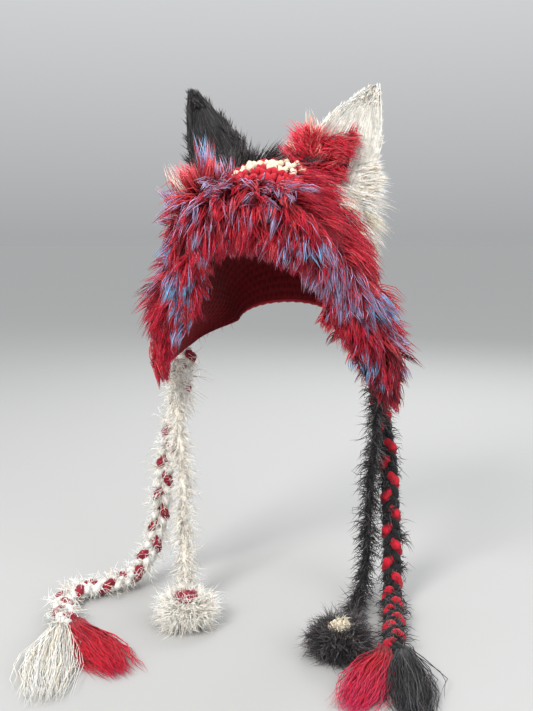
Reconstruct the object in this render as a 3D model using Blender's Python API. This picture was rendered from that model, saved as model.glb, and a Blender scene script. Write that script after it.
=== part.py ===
"""Crochet hood with cat ears, a deep fur brim, four ties, plumes and rosettes.

Metres, +Z up. The face looks along -Y, and the origin is the highest point inside the crown.
"""

import math

import bmesh
import bpy
import numpy as np
from mathutils import Vector

# Crown, the hollow crocheted wall with an ear flap on each side
HEAD_WIDTH = 0.180
HEAD_DEPTH = 0.205
HOOD_HEIGHT = 0.226
WALL = 0.007
LEAN = 0.014
LEAN_WIDTH = 0.040
SIDE_AT = 0.56

# One row for each hoop of the crown, from the face edge over the head to the nape. Out is a share of half the
# head's width, back a share of half its depth, and down a share of the hood's height.
HOOP_COLUMNS = (
    "top_back", "top_down", "side_out", "side_back", "side_down", "hem_out", "hem_back", "hem_down",
)
HOOPS = (
    (-0.94, 0.310, 0.735, -0.78, 0.560, 1.22, -0.56, 0.960),
    (-0.60, 0.093, 0.935, -0.47, 0.495, 1.30, -0.41, 0.990),
    (0.00, 0.000, 1.000, -0.08, 0.470, 1.32, -0.235, 1.000),
    (0.70, 0.137, 0.955, 0.35, 0.520, 1.29, -0.06, 0.985),
    (0.98, 0.390, 0.820, 0.61, 0.645, 1.22, 0.08, 0.955),
    (0.955, 0.664, 0.640, 0.70, 0.760, 1.12, 0.195, 0.920),
)

# Brim, the roll of deep fur over the face edge and down both flaps
RUFF_THICKNESS = 0.024
RUFF_LOCK = 0.021
RUFF_OVERHANG = 0.020
RUFF_REACH_TOP = 0.19
RUFF_REACH_FLAP = 0.42
RUFF_WIDENS = (0.25, 0.95)
RUFF_PAST_HEM = 0.055
RUFF_NARROWS_AT = 0.86
RUFF_SINK = 0.003
CROWN_ARC = 1.5 * HEAD_DEPTH

# Ears, cupped towards the face. A bend is the place that an inner edge leans to, in shares of the tip's distance
# and height.
EAR_HEIGHT = 0.090
EAR_TIP_OUT = 0.105
BLACK_EAR_TIP_OUT = 0.098
EAR_BEND = (0.38, 0.62)
BLACK_EAR_BEND = (0.52, 0.50)
EAR_FOOT_IN = 0.08
EAR_FOOT_OUT = 0.41
EAR_FOOT_BACK = (0.375, 0.430)
EAR_THICKNESS = 0.013
EAR_CUP = 0.012
EAR_TIP_WIDTH = 0.007
EAR_ROOT = 0.004
EAR_FRINGE = 0.016
LINING_THICKNESS = 0.0045
LINING_RISE = (0.13, 0.62)

# Ties, plumes and rosettes
SURFACE = -0.478
BRAID_DIAMETER = 0.022
CORD_DIAMETER = 0.010
PLUME_HEIGHT = 0.022
PLUME_LOCK = 0.13
PLUME_APART = 0.023
ROSETTE_CORE = 0.023
ROSETTE_HALF = 0.0135
ROSETTE_LOCK = 0.014
CENTRE_RADIUS = 0.0125
CENTRE_HEIGHT = 0.006

# Fits and fineness
GAP = 0.0003
SEAT = 0.0004
LOCK_TIP = 0.3
CROWN_CELLS = (30, 14)
RUFF_CELLS = (40, 7)
RUFF_UNDER = 4
EAR_CELLS = (10, 8)
LINING_CELLS = (6, 5)
PLUME_SIDES = 8
ROSETTE_SIDES = 14
SEED = 7

# Routes of the four ties, from the flap's hem down to the surface and along it
WHITE_BRAID_ROUTE = (
    (-0.113, 0.0112, -0.2046), (-0.113, 0.0160, -0.2145), (-0.1165, 0.0150, -0.237), (-0.122, 0.008, -0.268),
    (-0.128, -0.003, -0.302), (-0.133, -0.012, -0.340), (-0.136, -0.020, -0.380), (-0.141, -0.026, -0.415),
    (-0.150, -0.036, -0.444), (-0.164, -0.050, -0.461), (-0.180, -0.066, -0.467), (-0.198, -0.080, -0.467),
    (-0.213, -0.094, -0.467), (-0.220, -0.114, -0.467), (-0.215, -0.137, -0.467), (-0.204, -0.158, -0.467),
    (-0.193, -0.178, -0.467),
)
BLACK_BRAID_ROUTE = (
    (0.113, 0.0112, -0.2324), (0.113, 0.0160, -0.2423), (0.1165, 0.0150, -0.263), (0.121, 0.009, -0.291),
    (0.127, 0.001, -0.322), (0.130, -0.006, -0.355), (0.132, -0.012, -0.390), (0.134, -0.022, -0.420),
    (0.135, -0.038, -0.447), (0.136, -0.060, -0.463), (0.137, -0.086, -0.467), (0.138, -0.112, -0.467),
    (0.138, -0.136, -0.467), (0.139, -0.160, -0.467), (0.139, -0.184, -0.467),
)
WHITE_CORD_ROUTE = (
    (-0.1165, -0.015, -0.2120), (-0.117, -0.018, -0.240), (-0.114, -0.026, -0.275), (-0.108, -0.036, -0.315),
    (-0.103, -0.048, -0.350), (-0.099, -0.059, -0.382), (-0.096, -0.070, -0.412), (-0.092, -0.081, -0.439),
    (-0.089, -0.092, -0.4575), (-0.085, -0.108, -0.4635),
)
BLACK_CORD_ROUTE = (
    (0.1165, -0.015, -0.2400), (0.115, -0.018, -0.268), (0.112, -0.021, -0.305), (0.109, -0.022, -0.340),
    (0.107, -0.022, -0.375), (0.106, -0.023, -0.405), (0.105, -0.028, -0.432), (0.103, -0.041, -0.455),
    (0.100, -0.060, -0.469), (0.097, -0.084, -0.473), (0.094, -0.108, -0.473), (0.091, -0.131, -0.470),
    (0.089, -0.150, -0.4655),
)

# Plumes: the braid that each ends, the way it points on the surface, its side as a share of the distance between a
# pair, and its length
PLUME_COLUMNS = ("name", "braid", "heading", "across", "length", "colour")
PLUMES = (
    ("tassel_white", WHITE_BRAID_ROUTE, (0.30, -0.95), -0.5, 0.140, (0.86, 0.84, 0.78)),
    ("tassel_red_left", WHITE_BRAID_ROUTE, (0.68, -0.73), 0.5, 0.118, (0.40, 0.02, 0.06)),
    ("tassel_red_right", BLACK_BRAID_ROUTE, (-0.25, -0.97), -0.5, 0.112, (0.50, 0.02, 0.06)),
    ("tassel_black", BLACK_BRAID_ROUTE, (0.09, -0.99), 0.5, 0.118, (0.02, 0.02, 0.02)),
)
# Half width of a plume along its length, both as shares
PLUME_SECTIONS = ((0.0, 0.060), (0.12, 0.068), (0.34, 0.086), (0.60, 0.104), (0.84, 0.098), (1.0, 0.055))


def material(name, colour, roughness=0.9):
    """A plain yarn colour."""
    made = bpy.data.materials.new(name)
    made.use_nodes = True
    shader = made.node_tree.nodes["Principled BSDF"]
    shader.inputs["Base Color"].default_value = (*colour, 1.0)
    shader.inputs["Roughness"].default_value = roughness
    shader.inputs["Metallic"].default_value = 0.0
    return made


def solid(name, points, faces, colour):
    """One closed body from points and faces, with its faces turned outwards."""
    mesh = bpy.data.meshes.new(name)
    mesh.from_pydata([tuple(map(float, p)) for p in points], [], faces)
    work = bmesh.new()
    work.from_mesh(mesh)
    bmesh.ops.recalc_face_normals(work, faces=work.faces)
    work.to_mesh(mesh)
    work.free()
    mesh.shade_smooth()
    mesh.set_sharp_from_angle(angle=math.radians(35))
    made = bpy.data.objects.new(name, mesh)
    bpy.context.collection.objects.link(made)
    mesh.materials.append(material(name, colour))
    return made


def slab(name, inner, outer, colour):
    """A wall between two grids of points of one shape, closed along its four edges. Each cell is cut along the same
    diagonal on both sides, so that walls on one grid stay parallel. The last faces are the rims of the first and the
    last row, in turns."""
    rows, columns = inner.shape[:2]
    points = np.concatenate([inner.reshape(-1, 3), outer.reshape(-1, 3)])

    def at(side, row, column):
        return side * rows * columns + row * columns + column

    faces = []
    for r in range(rows - 1):
        for c in range(columns - 1):
            for side in (0, 1):
                faces.append((at(side, r, c), at(side, r, c + 1), at(side, r + 1, c + 1)))
                faces.append((at(side, r, c), at(side, r + 1, c + 1), at(side, r + 1, c)))
    for r in range(rows - 1):
        for c in (0, columns - 1):
            faces.append((at(0, r, c), at(0, r + 1, c), at(1, r + 1, c), at(1, r, c)))
    for c in range(columns - 1):
        for r in (0, rows - 1):
            faces.append((at(0, r, c), at(1, r, c), at(1, r, c + 1), at(0, r, c + 1)))
    return solid(name, points, faces, colour)


def lock_out(points, faces, shifts, tip=LOCK_TIP):
    """Turns each face named in shifts into a lock of yarn: its sides rise by the shift to a smaller tip."""
    points = [Vector(map(float, p)) for p in points]
    result = []
    for index, face in enumerate(faces):
        if index not in shifts:
            result.append(face)
            continue
        centre = sum((points[k] for k in face), Vector()) / len(face)
        top = []
        for k in face:
            top.append(len(points))
            points.append(centre + (points[k] - centre) * tip + shifts[index])
        result.append(tuple(top))
        ahead = face[1:] + face[:1]
        top_ahead = top[1:] + top[:1]
        for corners in zip(face, ahead, top_ahead, top):
            result.append(corners)
    return points, result


def face_frame(points, face):
    """A face's centre and its unit normal."""
    corners = [Vector(map(float, points[k])) for k in face]
    centre = sum(corners, Vector()) / len(corners)
    if len(corners) > 3:
        normal = (corners[2] - corners[0]).cross(corners[3] - corners[1])
    else:
        normal = (corners[1] - corners[0]).cross(corners[2] - corners[0])
    return centre, normal.normalized()


def smooth_step(low, high, value):
    """0 below low, 1 above high, and an even slope between them."""
    share = np.clip((value - low) / (high - low), 0.0, 1.0)
    return share * share * (3 - 2 * share)


def along_table(table, place):
    """A smooth curve through the rows of a table, read at places from 0 to 1."""
    rows = np.array(table, dtype=float)
    slopes = np.gradient(rows, axis=0)
    spot = np.clip(place, 0.0, 1.0) * (len(rows) - 1)
    low = np.minimum(spot.astype(int), len(rows) - 2)
    s = (spot - low)[..., None]
    a, b, slope_a, slope_b = rows[low], rows[low + 1], slopes[low], slopes[low + 1]
    return (
        (2 * s**3 - 3 * s**2 + 1) * a + (s**3 - 2 * s**2 + s) * slope_a
        + (3 * s**2 - 2 * s**3) * b + (s**3 - s**2) * slope_b
    )


def hoop_point(u, v):
    """The inside of the crown. u runs from the left hem (-1) over the top to the right hem (1), v from the face
    edge (0) to the nape (1). Each hoop is a quarter ellipse from the top to the side, then a curve to the hem."""
    hoop = dict(zip(HOOP_COLUMNS, np.moveaxis(along_table(HOOPS, v), -1, 0)))
    out = HEAD_WIDTH / 2
    back = HEAD_DEPTH / 2
    top = np.stack([0 * v, hoop["top_back"] * back, -hoop["top_down"] * HOOD_HEIGHT], -1)
    side = np.stack([hoop["side_out"] * out, hoop["side_back"] * back, -hoop["side_down"] * HOOD_HEIGHT], -1)
    hem = np.stack([hoop["hem_out"] * out, hoop["hem_back"] * back, -hoop["hem_down"] * HOOD_HEIGHT], -1)
    t = np.abs(u)
    turn = np.minimum(t / SIDE_AT, 1.0)[..., None] * math.pi / 2
    straight = side * (0, 1, 1)
    upper = straight + (top - straight) * np.cos(turn) + side * (1, 0, 0) * np.sin(turn)
    s = np.clip((t - SIDE_AT) / (1 - SIDE_AT), 0.0, 1.0)[..., None]
    leave = (straight - top) * (math.pi / 2 * (1 - SIDE_AT) / SIDE_AT)
    arrive = hem - side
    lower = (
        (2 * s**3 - 3 * s**2 + 1) * side + (s**3 - 2 * s**2 + s) * leave
        + (3 * s**2 - 2 * s**3) * hem + (s**3 - s**2) * arrive
    )
    point = np.where((t < SIDE_AT)[..., None], upper, lower)
    point[..., 0] *= np.sign(u)
    weight = 1 - smooth_step(0.0, 0.45, v) * (1 - smooth_step(0.45, 1.0, t))
    point[..., 2] -= LEAN * np.tanh(point[..., 0] / LEAN_WIDTH) * weight
    return point


def crown_point(u, v, out):
    """A point at a height out over the inside of the crown, along its normal, and straight on past its edges."""
    u, v, out = np.broadcast_arrays(*(np.asarray(x, dtype=float) for x in (u, v, out)))
    step = 0.002
    held_u = np.clip(u, -1 + step, 1 - step)
    held_v = np.clip(v, step, 1 - step)
    here = hoop_point(held_u, held_v)
    by_u = (hoop_point(held_u + step, held_v) - hoop_point(held_u - step, held_v)) / (2 * step)
    by_v = (hoop_point(held_u, held_v + step) - hoop_point(held_u, held_v - step)) / (2 * step)
    normal = np.cross(by_u, by_v)
    normal /= np.linalg.norm(normal, axis=-1, keepdims=True)
    return here + by_u * (u - held_u)[..., None] + by_v * (v - held_v)[..., None] + normal * out[..., None]


def crown_grid(out, past=0.0):
    """The crown's grid of points at one height over its inside, reaching past its edges by a share."""
    u = np.linspace(-1 - past, 1 + past, CROWN_CELLS[0] + 1)
    v = np.linspace(-past, 1 + past, CROWN_CELLS[1] + 1)
    return crown_point(*np.meshgrid(u, v, indexing="ij"), out)


def build_crown():
    """The crown and the solid that cuts what sits on it, which is the crown with a clearance round it."""
    crown = slab("crown", crown_grid(0.0), crown_grid(WALL), (0.42, 0.02, 0.06))
    cutter = slab("crown_clearance", crown_grid(-WALL / 2), crown_grid(WALL + GAP, past=0.0015), (1, 1, 1))
    cutter.hide_render = True
    cutter.display_type = "WIRE"
    return crown, cutter


def seat_on_crown(piece, cutter):
    """Cuts a piece back to the crown's clearance."""
    cut = piece.modifiers.new("seat", "BOOLEAN")
    cut.operation = "DIFFERENCE"
    cut.solver = "EXACT"
    cut.object = cutter


def build_ruff(cutter, draw):
    """The brim: a roll over the crown's edge whose outer side is all locks, combed outwards and down. Its sections
    rise by a power of a sine, and thin out by an ellipse towards the ends of the flaps."""
    stations, across = RUFF_CELLS[0] + 1, RUFF_CELLS[1] + 1
    u = np.linspace(-1 - RUFF_PAST_HEM, 1 + RUFF_PAST_HEM, stations)
    reach = RUFF_REACH_TOP + (RUFF_REACH_FLAP - RUFF_REACH_TOP) * smooth_step(*RUFF_WIDENS, np.abs(u))
    overhang = RUFF_OVERHANG / CROWN_ARC
    end = np.clip((np.abs(u) - RUFF_NARROWS_AT) / (1 + RUFF_PAST_HEM - RUFF_NARROWS_AT), 0.0, 1.0)
    fullness = np.sqrt(np.maximum(1 - end**2, 0.16))
    over = np.linspace(0, 1, across)
    place = np.concatenate([over, np.linspace(1, 0, RUFF_UNDER)])
    height = np.concatenate([RUFF_THICKNESS * np.sin(np.pi * over) ** 0.7, np.full(RUFF_UNDER, -RUFF_SINK)])
    sides = len(place)
    v = -overhang + (reach[:, None] + overhang) * place[None, :]
    out = WALL + np.where(height > 0, height * fullness[:, None], height)
    points = crown_point(np.repeat(u[:, None], sides, 1), v, out).reshape(-1, 3)
    faces = []
    shifts = {}
    for i in range(stations - 1):
        for j in range(sides):
            k = (j + 1) % sides
            face = (i * sides + j, (i + 1) * sides + j, (i + 1) * sides + k, i * sides + k)
            if j < RUFF_CELLS[1]:
                centre, normal = face_frame(points, face)
                droop = min(abs(centre.x) / HEAD_WIDTH, 1.0)
                way = (normal + Vector((0.25 * math.copysign(droop, centre.x), 0, -0.55 * droop))).normalized()
                crest = math.sin(math.pi * (j + 0.5) / RUFF_CELLS[1])
                shifts[len(faces)] = way * RUFF_LOCK * (0.45 + 0.55 * crest) * draw.uniform(0.75, 1.0)
            faces.append(face)
    faces.append(tuple(range(sides)))
    faces.append(tuple((stations - 1) * sides + j for j in reversed(range(sides))))
    points, faces = lock_out(points, faces, shifts)
    seat_on_crown(solid("brim_fur", points, faces, (0.50, 0.03, 0.07)), cutter)


def curve_through(start, control, end, b):
    """A bend from start to end that leans to its control point."""
    b = b[..., None]
    return (1 - b) ** 2 * start + 2 * b * (1 - b) * control + b**2 * end


def ear_middle(side, a, b):
    """The middle of an ear's thickness and half that thickness. a runs from the inner edge to the outer, b from
    the root on the crown to the tip. side is -1 on the left and 1 on the right."""
    base_u = side * (EAR_FOOT_IN + (EAR_FOOT_OUT - EAR_FOOT_IN) * a)
    base_v = EAR_FOOT_BACK[0] + (EAR_FOOT_BACK[1] - EAR_FOOT_BACK[0]) * a
    root = crown_point(base_u, base_v, WALL - EAR_ROOT)
    foot = crown_point(np.array([side * EAR_FOOT_IN, side * EAR_FOOT_OUT]), np.array(EAR_FOOT_BACK), WALL - EAR_ROOT)
    tip_out, bend = (EAR_TIP_OUT, EAR_BEND) if side > 0 else (-BLACK_EAR_TIP_OUT, BLACK_EAR_BEND)
    tip = np.array([tip_out, 0.002, EAR_HEIGHT])
    half_tip = np.array([side * EAR_TIP_WIDTH / 2, 0, 0])
    bend_in = np.array([tip_out * bend[0], -0.004, EAR_HEIGHT * bend[1]])
    bend_out = np.array([tip_out * 1.12, 0.008, EAR_HEIGHT * 0.24])
    inner = curve_through(foot[0], bend_in, tip - half_tip, b)
    outer = curve_through(foot[1], bend_out, tip + half_tip, b)
    across = a[..., None]
    straight = foot[0] + (foot[1] - foot[0]) * across
    middle = inner + (outer - inner) * across + (root - straight) * (1 - b[..., None]) ** 2
    middle[..., 1] += EAR_CUP * np.sin(np.pi * a) * (1 - 0.6 * b)
    half = EAR_THICKNESS / 2 * (0.5 + 0.5 * np.sin(np.pi * a)) * (1 - 0.45 * b)
    return middle, half


def ear_faces(side, a, b):
    """The front and back of an ear."""
    middle, half = ear_middle(side, a, b)
    ahead = np.stack([0 * half, half, 0 * half], -1)
    return middle - ahead, middle + ahead


def build_ear(name, side, colour, fringe, cutter, draw):
    """A cupped ear seated on the crown. A fringed one has locks along its outer edge, which is its last row."""
    a, b = np.meshgrid(*(np.linspace(0, 1, cells + 1) for cells in EAR_CELLS), indexing="ij")
    ear = slab(name, *ear_faces(side, a, b), colour)
    if fringe:
        points = [v.co.copy() for v in ear.data.vertices]
        faces = [tuple(f.vertices) for f in ear.data.polygons]
        bpy.data.objects.remove(ear)
        root = len(faces) + 1 - 2 * EAR_CELLS[1]
        droop = Vector((side * 0.75, 0.0, -0.65)) * EAR_FRINGE
        shifts = {index: droop * draw.uniform(0.7, 1.0) for index in range(root + 2, len(faces), 2)}
        ear = solid(name, *lock_out(points, faces, shifts), colour)
    seat_on_crown(ear, cutter)


def build_lining():
    """The tuft inside the white ear, a thin cushion on its front that narrows upwards."""
    a, b = np.meshgrid(*(np.linspace(0, 1, cells + 1) for cells in LINING_CELLS), indexing="ij")
    rise = LINING_RISE[0] + (LINING_RISE[1] - LINING_RISE[0]) * b
    spread = 0.10 + 0.18 * b + (0.62 - 0.30 * b) * a
    front, _ = ear_faces(1, spread, rise)
    crown_of = np.sin(np.pi * (0.08 + 0.84 * a)) * np.sin(np.pi * (0.12 + 0.76 * b))
    ahead = np.stack([0 * a, 2 * SEAT + LINING_THICKNESS * (0.35 + 0.65 * crown_of), 0 * a], -1)
    slab("ear_lining", front - (0, 2 * SEAT, 0), front - ahead, (0.45, 0.02, 0.05))


def smooth_route(route, step):
    """Points a step apart on a smooth curve through a route's points."""
    fine = along_table(route, np.linspace(0, 1, 400))
    run = np.concatenate([[0], np.cumsum(np.linalg.norm(np.diff(fine, axis=0), axis=1))])
    places = np.linspace(0, run[-1], max(int(round(run[-1] / step)), 4) + 1)
    return np.stack([np.interp(places, run, fine[:, k]) for k in range(3)], 1)


def build_tie(name, route, diameter, colour):
    """A tie, one tube along its route with filled ends."""
    data = bpy.data.curves.new(name, "CURVE")
    data.dimensions = "3D"
    data.bevel_depth = diameter / 2
    data.bevel_resolution = 3 if diameter > 0.015 else 2
    data.use_fill_caps = True
    points = smooth_route(route, 1.2 * diameter if diameter > 0.015 else 2 * diameter)
    spline = data.splines.new("POLY")
    spline.points.add(len(points) - 1)
    for spot, point in zip(spline.points, points):
        spot.co = (*point, 1)
    made = bpy.data.objects.new(name, data)
    bpy.context.collection.objects.link(made)
    data.materials.append(material(name, colour))


def route_end(route):
    """Where a tie ends and the way it points there."""
    points = smooth_route(route, 0.004)
    way = Vector(points[-1] - points[-2]).normalized()
    return Vector(points[-1]), way


def build_plume(name, route, heading, across, length, colour, draw):
    """A plume of yarn that starts at a braid's end and lies on the surface, its locks combed to its tip."""
    sides = PLUME_SIDES
    end, way = route_end(route)
    flat = Vector((way.x, way.y, 0)).normalized()
    beside = Vector((flat.y, -flat.x, 0))
    if beside.x < 0:
        beside.negate()
    start = end + flat * SEAT + beside * across * PLUME_APART
    heading = Vector((*heading, 0)).normalized()
    rings = []
    for share, width in PLUME_SECTIONS:
        bend = smooth_step(0.0, 0.35, np.float64(share))
        middle = start + (flat * (1 - bend) + heading * bend) * length * share
        ahead = (flat * (1 - bend) + heading * bend).normalized()
        side = Vector((ahead.y, -ahead.x, 0))
        wide = width * length
        tall = min(wide, PLUME_HEIGHT / 2)
        middle.z = SURFACE + GAP + tall * 1.02 + (end.z - SURFACE - tall) * (1 - smooth_step(0.0, 0.5, np.float64(share)))
        for k in range(sides):
            angle = 2 * math.pi * (k + 0.5) / sides
            rings.append(middle + side * wide * math.cos(angle) + Vector((0, 0, tall * math.sin(angle))))
    count = len(PLUME_SECTIONS)
    tail = rings[-sides:]
    core = sum(tail, Vector()) / sides
    rings += [core + (point - core) * 0.45 + heading * 0.006 for point in tail]
    faces = []
    shifts = {}
    for i in range(count):
        for k in range(sides):
            face = (i * sides + k, (i + 1) * sides + k, (i + 1) * sides + (k + 1) % sides, i * sides + (k + 1) % sides)
            centre, normal = face_frame(rings, face)
            axis = sum((rings[i * sides + n] for n in range(sides)), Vector()) / sides
            if normal.dot(centre - axis) < 0:
                normal.negate()
            lift = max(normal.z, -0.1)
            shift = (heading * 2.2 + Vector((normal.x, normal.y, lift))).normalized() * length * PLUME_LOCK
            if centre.z > SURFACE + 0.3 * PLUME_HEIGHT and i > 0:
                shift.z = max(shift.z, 0.0)
                shifts[len(faces)] = shift * draw.uniform(0.7, 1.0) * (0.5 if i == 1 else 1.0)
            faces.append(face)
    faces.append(tuple(range(sides)))
    faces.append(tuple(count * sides + k for k in reversed(range(sides))))
    points, faces = lock_out(rings, faces, shifts)
    solid(name, points, faces, colour)


def turned(profile, sides, phase=0.0):
    """Points of a turned form, a ring for each radius and height, and the faces between the rings."""
    points = []
    for radius, height in profile:
        for k in range(sides):
            angle = phase + 2 * math.pi * k / sides
            points.append(Vector((radius * math.cos(angle), radius * math.sin(angle), height)))
    faces = []
    for i in range(len(profile) - 1):
        for k in range(sides):
            n = (k + 1) % sides
            faces.append((i * sides + k, i * sides + n, (i + 1) * sides + n, (i + 1) * sides + k))
    faces.append(tuple(reversed(range(sides))))
    faces.append(tuple((len(profile) - 1) * sides + k for k in range(sides)))
    return points, faces


def build_rosette(name, route, colour, centre_colour, draw):
    """A rosette at a tie's end: a turned core with three rows of locks, and a domed centre on its flat top."""
    sides = ROSETTE_SIDES
    end, way = route_end(route)
    flat = Vector((way.x, way.y, 0)).normalized()
    flat_side = ROSETTE_CORE * math.cos(math.pi / sides)
    centre = end + flat * (flat_side + SEAT + CORD_DIAMETER / 2 * abs(way.z))
    centre.z = SURFACE + GAP + ROSETTE_HALF
    profile = [
        (0.60 * ROSETTE_CORE, -ROSETTE_HALF),
        (ROSETTE_CORE, -0.55 * ROSETTE_HALF),
        (ROSETTE_CORE, 0.35 * ROSETTE_HALF),
        (0.84 * ROSETTE_CORE, 0.8 * ROSETTE_HALF),
        (1.1 * CENTRE_RADIUS, ROSETTE_HALF),
    ]
    points, faces = turned(profile, sides, math.atan2(-flat.y, -flat.x) - math.pi / sides)
    shifts = {}
    for index, face in enumerate(faces[: sides * 4]):
        row = index // sides
        middle, _ = face_frame(points, face)
        away = Vector((middle.x, middle.y, 0)).normalized()
        if row == 0 or (away.dot(-flat) > 0.85 and row < 3):
            continue
        rise = (0.0, 0.05, 0.45, 1.0)[row]
        shifts[index] = (away + Vector((0, 0, rise))).normalized() * ROSETTE_LOCK * draw.uniform(0.75, 1.0)
    points, faces = lock_out(points, faces, shifts, tip=0.4)
    solid(name, [p + centre for p in points], faces, colour)
    dome = [
        (CENTRE_RADIUS, ROSETTE_HALF + SEAT),
        (0.9 * CENTRE_RADIUS, ROSETTE_HALF + SEAT + 0.5 * CENTRE_HEIGHT),
        (0.5 * CENTRE_RADIUS, ROSETTE_HALF + SEAT + CENTRE_HEIGHT),
    ]
    points, faces = turned(dome, 12)
    solid(name + "_centre", [p + centre for p in points], faces, centre_colour)


def build():
    for old in list(bpy.data.objects):
        bpy.data.objects.remove(old)
    draw = np.random.default_rng(SEED)
    crown, cutter = build_crown()
    build_ruff(cutter, draw)
    build_ear("ear_black", -1, (0.02, 0.02, 0.02), False, cutter, draw)
    build_ear("ear_white", 1, (0.85, 0.82, 0.74), True, cutter, draw)
    build_lining()
    build_tie("braid_white", WHITE_BRAID_ROUTE, BRAID_DIAMETER, (0.80, 0.78, 0.74))
    build_tie("braid_black", BLACK_BRAID_ROUTE, BRAID_DIAMETER, (0.03, 0.03, 0.03))
    build_tie("cord_white", WHITE_CORD_ROUTE, CORD_DIAMETER, (0.85, 0.83, 0.78))
    build_tie("cord_black", BLACK_CORD_ROUTE, CORD_DIAMETER, (0.02, 0.02, 0.02))
    for row in PLUMES:
        plume = dict(zip(PLUME_COLUMNS, row))
        build_plume(
            plume["name"], plume["braid"], plume["heading"], plume["across"], plume["length"], plume["colour"], draw
        )
    build_rosette("rosette_white", WHITE_CORD_ROUTE, (0.84, 0.82, 0.76), (0.45, 0.06, 0.10), draw)
    build_rosette("rosette_black", BLACK_CORD_ROUTE, (0.02, 0.02, 0.02), (0.80, 0.74, 0.62), draw)


build()
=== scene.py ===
"""Looks of a crochet hood with cat ears: chunky crochet, a deep fur brim, fur ears, braided and fluffy ties.

Every piece is a surface or a set of strands worked out with numpy, in metres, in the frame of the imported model.
"""

import math

import bmesh
import bpy
import numpy as np
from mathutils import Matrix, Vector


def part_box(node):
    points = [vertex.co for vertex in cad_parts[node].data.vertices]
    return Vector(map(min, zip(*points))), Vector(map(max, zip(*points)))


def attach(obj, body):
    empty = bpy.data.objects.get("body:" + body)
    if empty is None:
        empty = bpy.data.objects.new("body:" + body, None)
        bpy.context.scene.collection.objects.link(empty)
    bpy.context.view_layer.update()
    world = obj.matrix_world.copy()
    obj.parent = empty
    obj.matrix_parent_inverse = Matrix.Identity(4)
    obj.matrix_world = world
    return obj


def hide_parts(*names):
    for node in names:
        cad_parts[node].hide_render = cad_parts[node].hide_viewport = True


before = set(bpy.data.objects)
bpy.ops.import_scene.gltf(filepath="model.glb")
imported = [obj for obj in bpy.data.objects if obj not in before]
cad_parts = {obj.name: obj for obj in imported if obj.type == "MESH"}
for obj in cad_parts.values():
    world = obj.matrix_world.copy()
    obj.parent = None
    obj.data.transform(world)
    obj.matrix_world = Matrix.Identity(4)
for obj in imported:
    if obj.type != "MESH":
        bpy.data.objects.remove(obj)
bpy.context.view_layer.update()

# The crown's shape, as the solids have it
HEAD_WIDTH = 0.180
HEAD_DEPTH = 0.205
HOOD_HEIGHT = 0.226
WALL = 0.007
LEAN = 0.014
LEAN_WIDTH = 0.040
SIDE_AT = 0.56
HOOP_COLUMNS = (
    "top_back", "top_down", "side_out", "side_back", "side_down", "hem_out", "hem_back", "hem_down",
)
HOOPS = (
    (-0.94, 0.310, 0.735, -0.78, 0.560, 1.22, -0.56, 0.960),
    (-0.60, 0.093, 0.935, -0.47, 0.495, 1.30, -0.41, 0.990),
    (0.00, 0.000, 1.000, -0.08, 0.470, 1.32, -0.235, 1.000),
    (0.70, 0.137, 0.955, 0.35, 0.520, 1.29, -0.06, 0.985),
    (0.98, 0.390, 0.820, 0.61, 0.645, 1.22, 0.08, 0.955),
    (0.955, 0.664, 0.640, 0.70, 0.760, 1.12, 0.195, 0.920),
)

# Crochet of the crown: stitches from hem to hem, rows from the face edge to the nape, and grid cells along each
STITCHES = 50
ROWS = 32
CELLS = 4
STITCH_HEIGHT = 0.0034
STITCH_ROOT = 0.0014
LINING_HEIGHT = 0.0020
LINING_ROOT = 0.0022
EDGE_BULGE = 0.0030

# Brim: a roll along the face edge that widens towards the flaps and narrows and thins at their ends. Its top left
# corner is a rounded hill, given by its place and spread along u and w.
CROWN_ARC = 1.5 * HEAD_DEPTH
ROLL_THICKNESS = 0.014
ROLL_ROUNDNESS = 0.7
ROLL_OVERHANG = 0.020
ROLL_REACH_TOP = 0.19
ROLL_REACH_FLAP = 0.42
ROLL_WIDENS = (0.25, 0.95)
ROLL_NARROWS = (0.80, 1.04)
ROLL_THINS_AT = 0.86
ROLL_PAST_HEM = 0.055
ROLL_CORNER = 0.016
ROLL_CORNER_AT = (-0.29, 0.72)
ROLL_CORNER_SPREAD = (0.13, 0.30)
BRIM_STRETCHES = (-1 - ROLL_PAST_HEM, -0.62, -0.2, 0.2, 0.62, 1 + ROLL_PAST_HEM)
BRIM_LOCKS = 540
BRIM_STRANDS = 17
FUR_LENGTH = 0.047

# Ears. A bend is the place that an edge leans to, in shares of the tip's distance and height.
EAR_HEIGHT = 0.090
EAR_TIP_OUT = 0.105
BLACK_EAR_TIP_OUT = 0.098
EAR_BEND = (0.38, 0.62)
BLACK_EAR_BEND = (0.52, 0.50)
EAR_OUTER_BEND = (1.12, 0.24)
EAR_FOOT_IN = 0.08
EAR_FOOT_OUT = 0.41
EAR_FOOT_BACK = (0.375, 0.430)
EAR_THICKNESS = 0.013
EAR_CUP = 0.012
EAR_TIP_WIDTH = 0.007
EAR_ROOT = 0.004
# Ear fur looks. The streak column paints darker streaks of shade between clumps, with lighter lines of painted sheen
# between them; shell_shade and root_shade are painted shade.
EAR_FUR_COLUMNS = ("shell_shade", "wave", "wisp", "shade_and_sheen_streak", "root_shade", "jitter")
EAR_FUR = {-1: (0.80, 0.11, 0.024, 0.45, 0.70, 0.25), 1: (0.97, 0.035, 0.017, 0.13, 0.96, 0.04)}

# Front band of the crown: V stitches, each of two beads
BAND_SPAN = (-0.27, 0.12)
BAND_STEP = 0.044
BEAD_LENGTH = 0.0078
BEAD_WIDTH = 0.0040
BEAD_HEIGHT = 0.0062
BEAD_APART = 0.0085
BEAD_RINGS = 9
BEAD_SIDES = 8

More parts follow.
